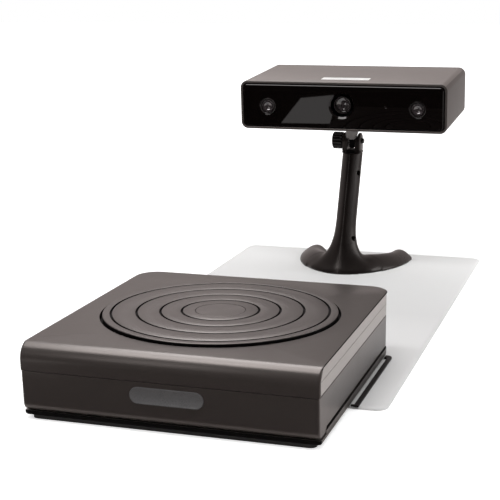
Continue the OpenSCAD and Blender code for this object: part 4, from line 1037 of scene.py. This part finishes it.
# Softboxes; the ones that give only highlights are warmer
highlightColor = (1.0, 0.965, 0.955)
softboxes = {
    "topSoftbox": {"place": (-0.3, -0.42, 1.3), "aim": (-0.3, -0.42, 0), "size": (1.8, 0.36), "power": 11.0,
                   "gives": "shade"},
    "sheenSoftbox": {"place": (-0.3, 0.36, 1.31), "aim": (0.3, 0.36, 0), "size": (1.8, 0.96), "power": 39.0,
                     "gives": "highlights"},
    "stripSoftbox": {"place": (-0.5, -1.2, 0.85), "aim": (0, 0.2, 0.07), "size": (0.25, 0.6), "power": 1.6,
                     "gives": "highlights"},
    "lensSoftbox": {"place": (-0.4, -0.33, 1.3), "aim": (-0.4, -0.33, 0), "size": (0.2, 0.2), "power": 3.8,
                    "gives": "highlights"},
    "sideSoftbox": {"place": (1.3, 0.5, 0.7), "aim": (0, 0, 0.05), "size": (0.8, 0.8), "power": 6.0,
                    "gives": "both"},
}


def stagePlane(name, corners, z, mat):
    mesh = bpy.data.meshes.new(name)
    mesh.from_pydata([Vector((x, y, z)) for x, y in corners], [], [tuple(range(len(corners)))])
    obj = linkObject(name, mesh)
    mesh.materials.append(mat)
    return obj


# The camera sees a floor that brightens to white away from the object
def floorMaterial():
    mat, tree, body = startMaterial("paleFloor", {
        "Base Color": floorLook["color"], "Roughness": floorLook["rough"], "Specular IOR Level": 0.0})
    reach = tree.nodes.new("ShaderNodeVectorMath")
    reach.operation = "LENGTH"
    tree.links.new(tree.nodes.new("ShaderNodeTexCoord").outputs["Object"], reach.inputs[0])
    fade = fadeNode(tree, reach.outputs["Value"], *(floorLook[key] for key in (
        "shadeStart", "shadeEnd", "liftNear", "liftFar")))
    lift = tree.nodes.new("ShaderNodeEmission")
    tree.links.new(fade, lift.inputs["Strength"])
    add = tree.nodes.new("ShaderNodeAddShader")
    tree.links.new(body.outputs[0], add.inputs[0])
    tree.links.new(lift.outputs[0], add.inputs[1])
    bounce = tree.nodes.new("ShaderNodeBsdfDiffuse")
    bounce.inputs["Color"].default_value = floorLook["bounce"]
    mix = tree.nodes.new("ShaderNodeMixShader")
    tree.links.new(tree.nodes.new("ShaderNodeLightPath").outputs["Is Camera Ray"], mix.inputs["Fac"])
    tree.links.new(bounce.outputs[0], mix.inputs[1])
    tree.links.new(add.outputs[0], mix.inputs[2])
    tree.links.new(mix.outputs[0], tree.nodes["Material Output"].inputs["Surface"])
    return mat


def makeFloorAndCards():
    half = floorLook["half"]
    corners = [(-half, -half), (half, -half), (half, half), (-half, half)]
    stagePlane("floor", corners, 0, floorMaterial())
    for name, card in cards.items():
        mat = startMaterial(name, card["shader"])[0]
        obj = stagePlane(name, card["corners"], card["z"], mat)
        obj.visible_camera = obj.visible_diffuse = obj.visible_shadow = False
        obj.visible_transmission = False


# Reflections see a sky that darkens to the front; other rays see an even level
def makeWorld():
    world = bpy.data.worlds.new("studio")
    bpy.context.scene.world = world
    world.use_nodes = True
    tree = world.node_tree
    background = tree.nodes["Background"]
    ahead = splitAxes(tree, tree.nodes.new("ShaderNodeTexCoord").outputs["Generated"])["Y"]
    strength = fadeNode(tree, ahead, *(sky[key] for key in ("start", "end", "front", "back")))
    path = tree.nodes.new("ShaderNodeLightPath")
    for rays, level in (("Is Diffuse Ray", sky["fill"]), ("Is Camera Ray", 1.0)):
        mix = tree.nodes.new("ShaderNodeMix")
        mix.data_type = "FLOAT"
        tree.links.new(path.outputs[rays], mix.inputs["Factor"])
        tree.links.new(strength, mix.inputs[2])
        mix.inputs[3].default_value = level
        strength = mix.outputs[0]
    tree.links.new(strength, background.inputs["Strength"])
    tint = mixColors(tree, path.outputs["Is Glossy Ray"], (1, 1, 1, 1), sky["warm"])
    tree.links.new(tint, background.inputs["Color"])


def makeSoftboxes():
    for name, box in softboxes.items():
        lamp = bpy.data.lights.new(name, "AREA")
        lamp.shape = "RECTANGLE"
        lamp.size, lamp.size_y = box["size"]
        lamp.energy = box["power"]
        obj = linkObject(name, lamp)
        obj.location = box["place"]
        obj.rotation_mode = "QUATERNION"
        obj.rotation_quaternion = (Vector(box["aim"]) - Vector(box["place"])).to_track_quat("-Z", "Y")
        obj.visible_glossy = box["gives"] != "shade"
        obj.visible_diffuse = box["gives"] != "highlights"
        if box["gives"] == "highlights":
            lamp.color = highlightColor


# The photo's own view: place in metres, turn in degrees, lens in mm
view = {"place": (0.28981, -1.02185, 0.29791), "turn": (77.516872, 0.409474, 17.699236), "lens": 90.48,
        "sensor": 36.0, "near": 0.02, "far": 50.0}


def makeView():
    data = bpy.data.cameras.new("camera")
    data.lens = view["lens"]
    data.sensor_width = view["sensor"]
    data.clip_start, data.clip_end = view["near"], view["far"]
    camera = linkObject("camera", data)
    turn = Euler([math.radians(angle) for angle in view["turn"]]).to_matrix().to_4x4()
    camera.matrix_world = Matrix.Translation(view["place"]) @ turn
    bpy.context.scene.camera = camera


makeFloorAndCards()
makeWorld()
makeSoftboxes()
makeView()
bpy.context.scene.view_settings.view_transform = "Standard"
print("stage, lamps and camera made")
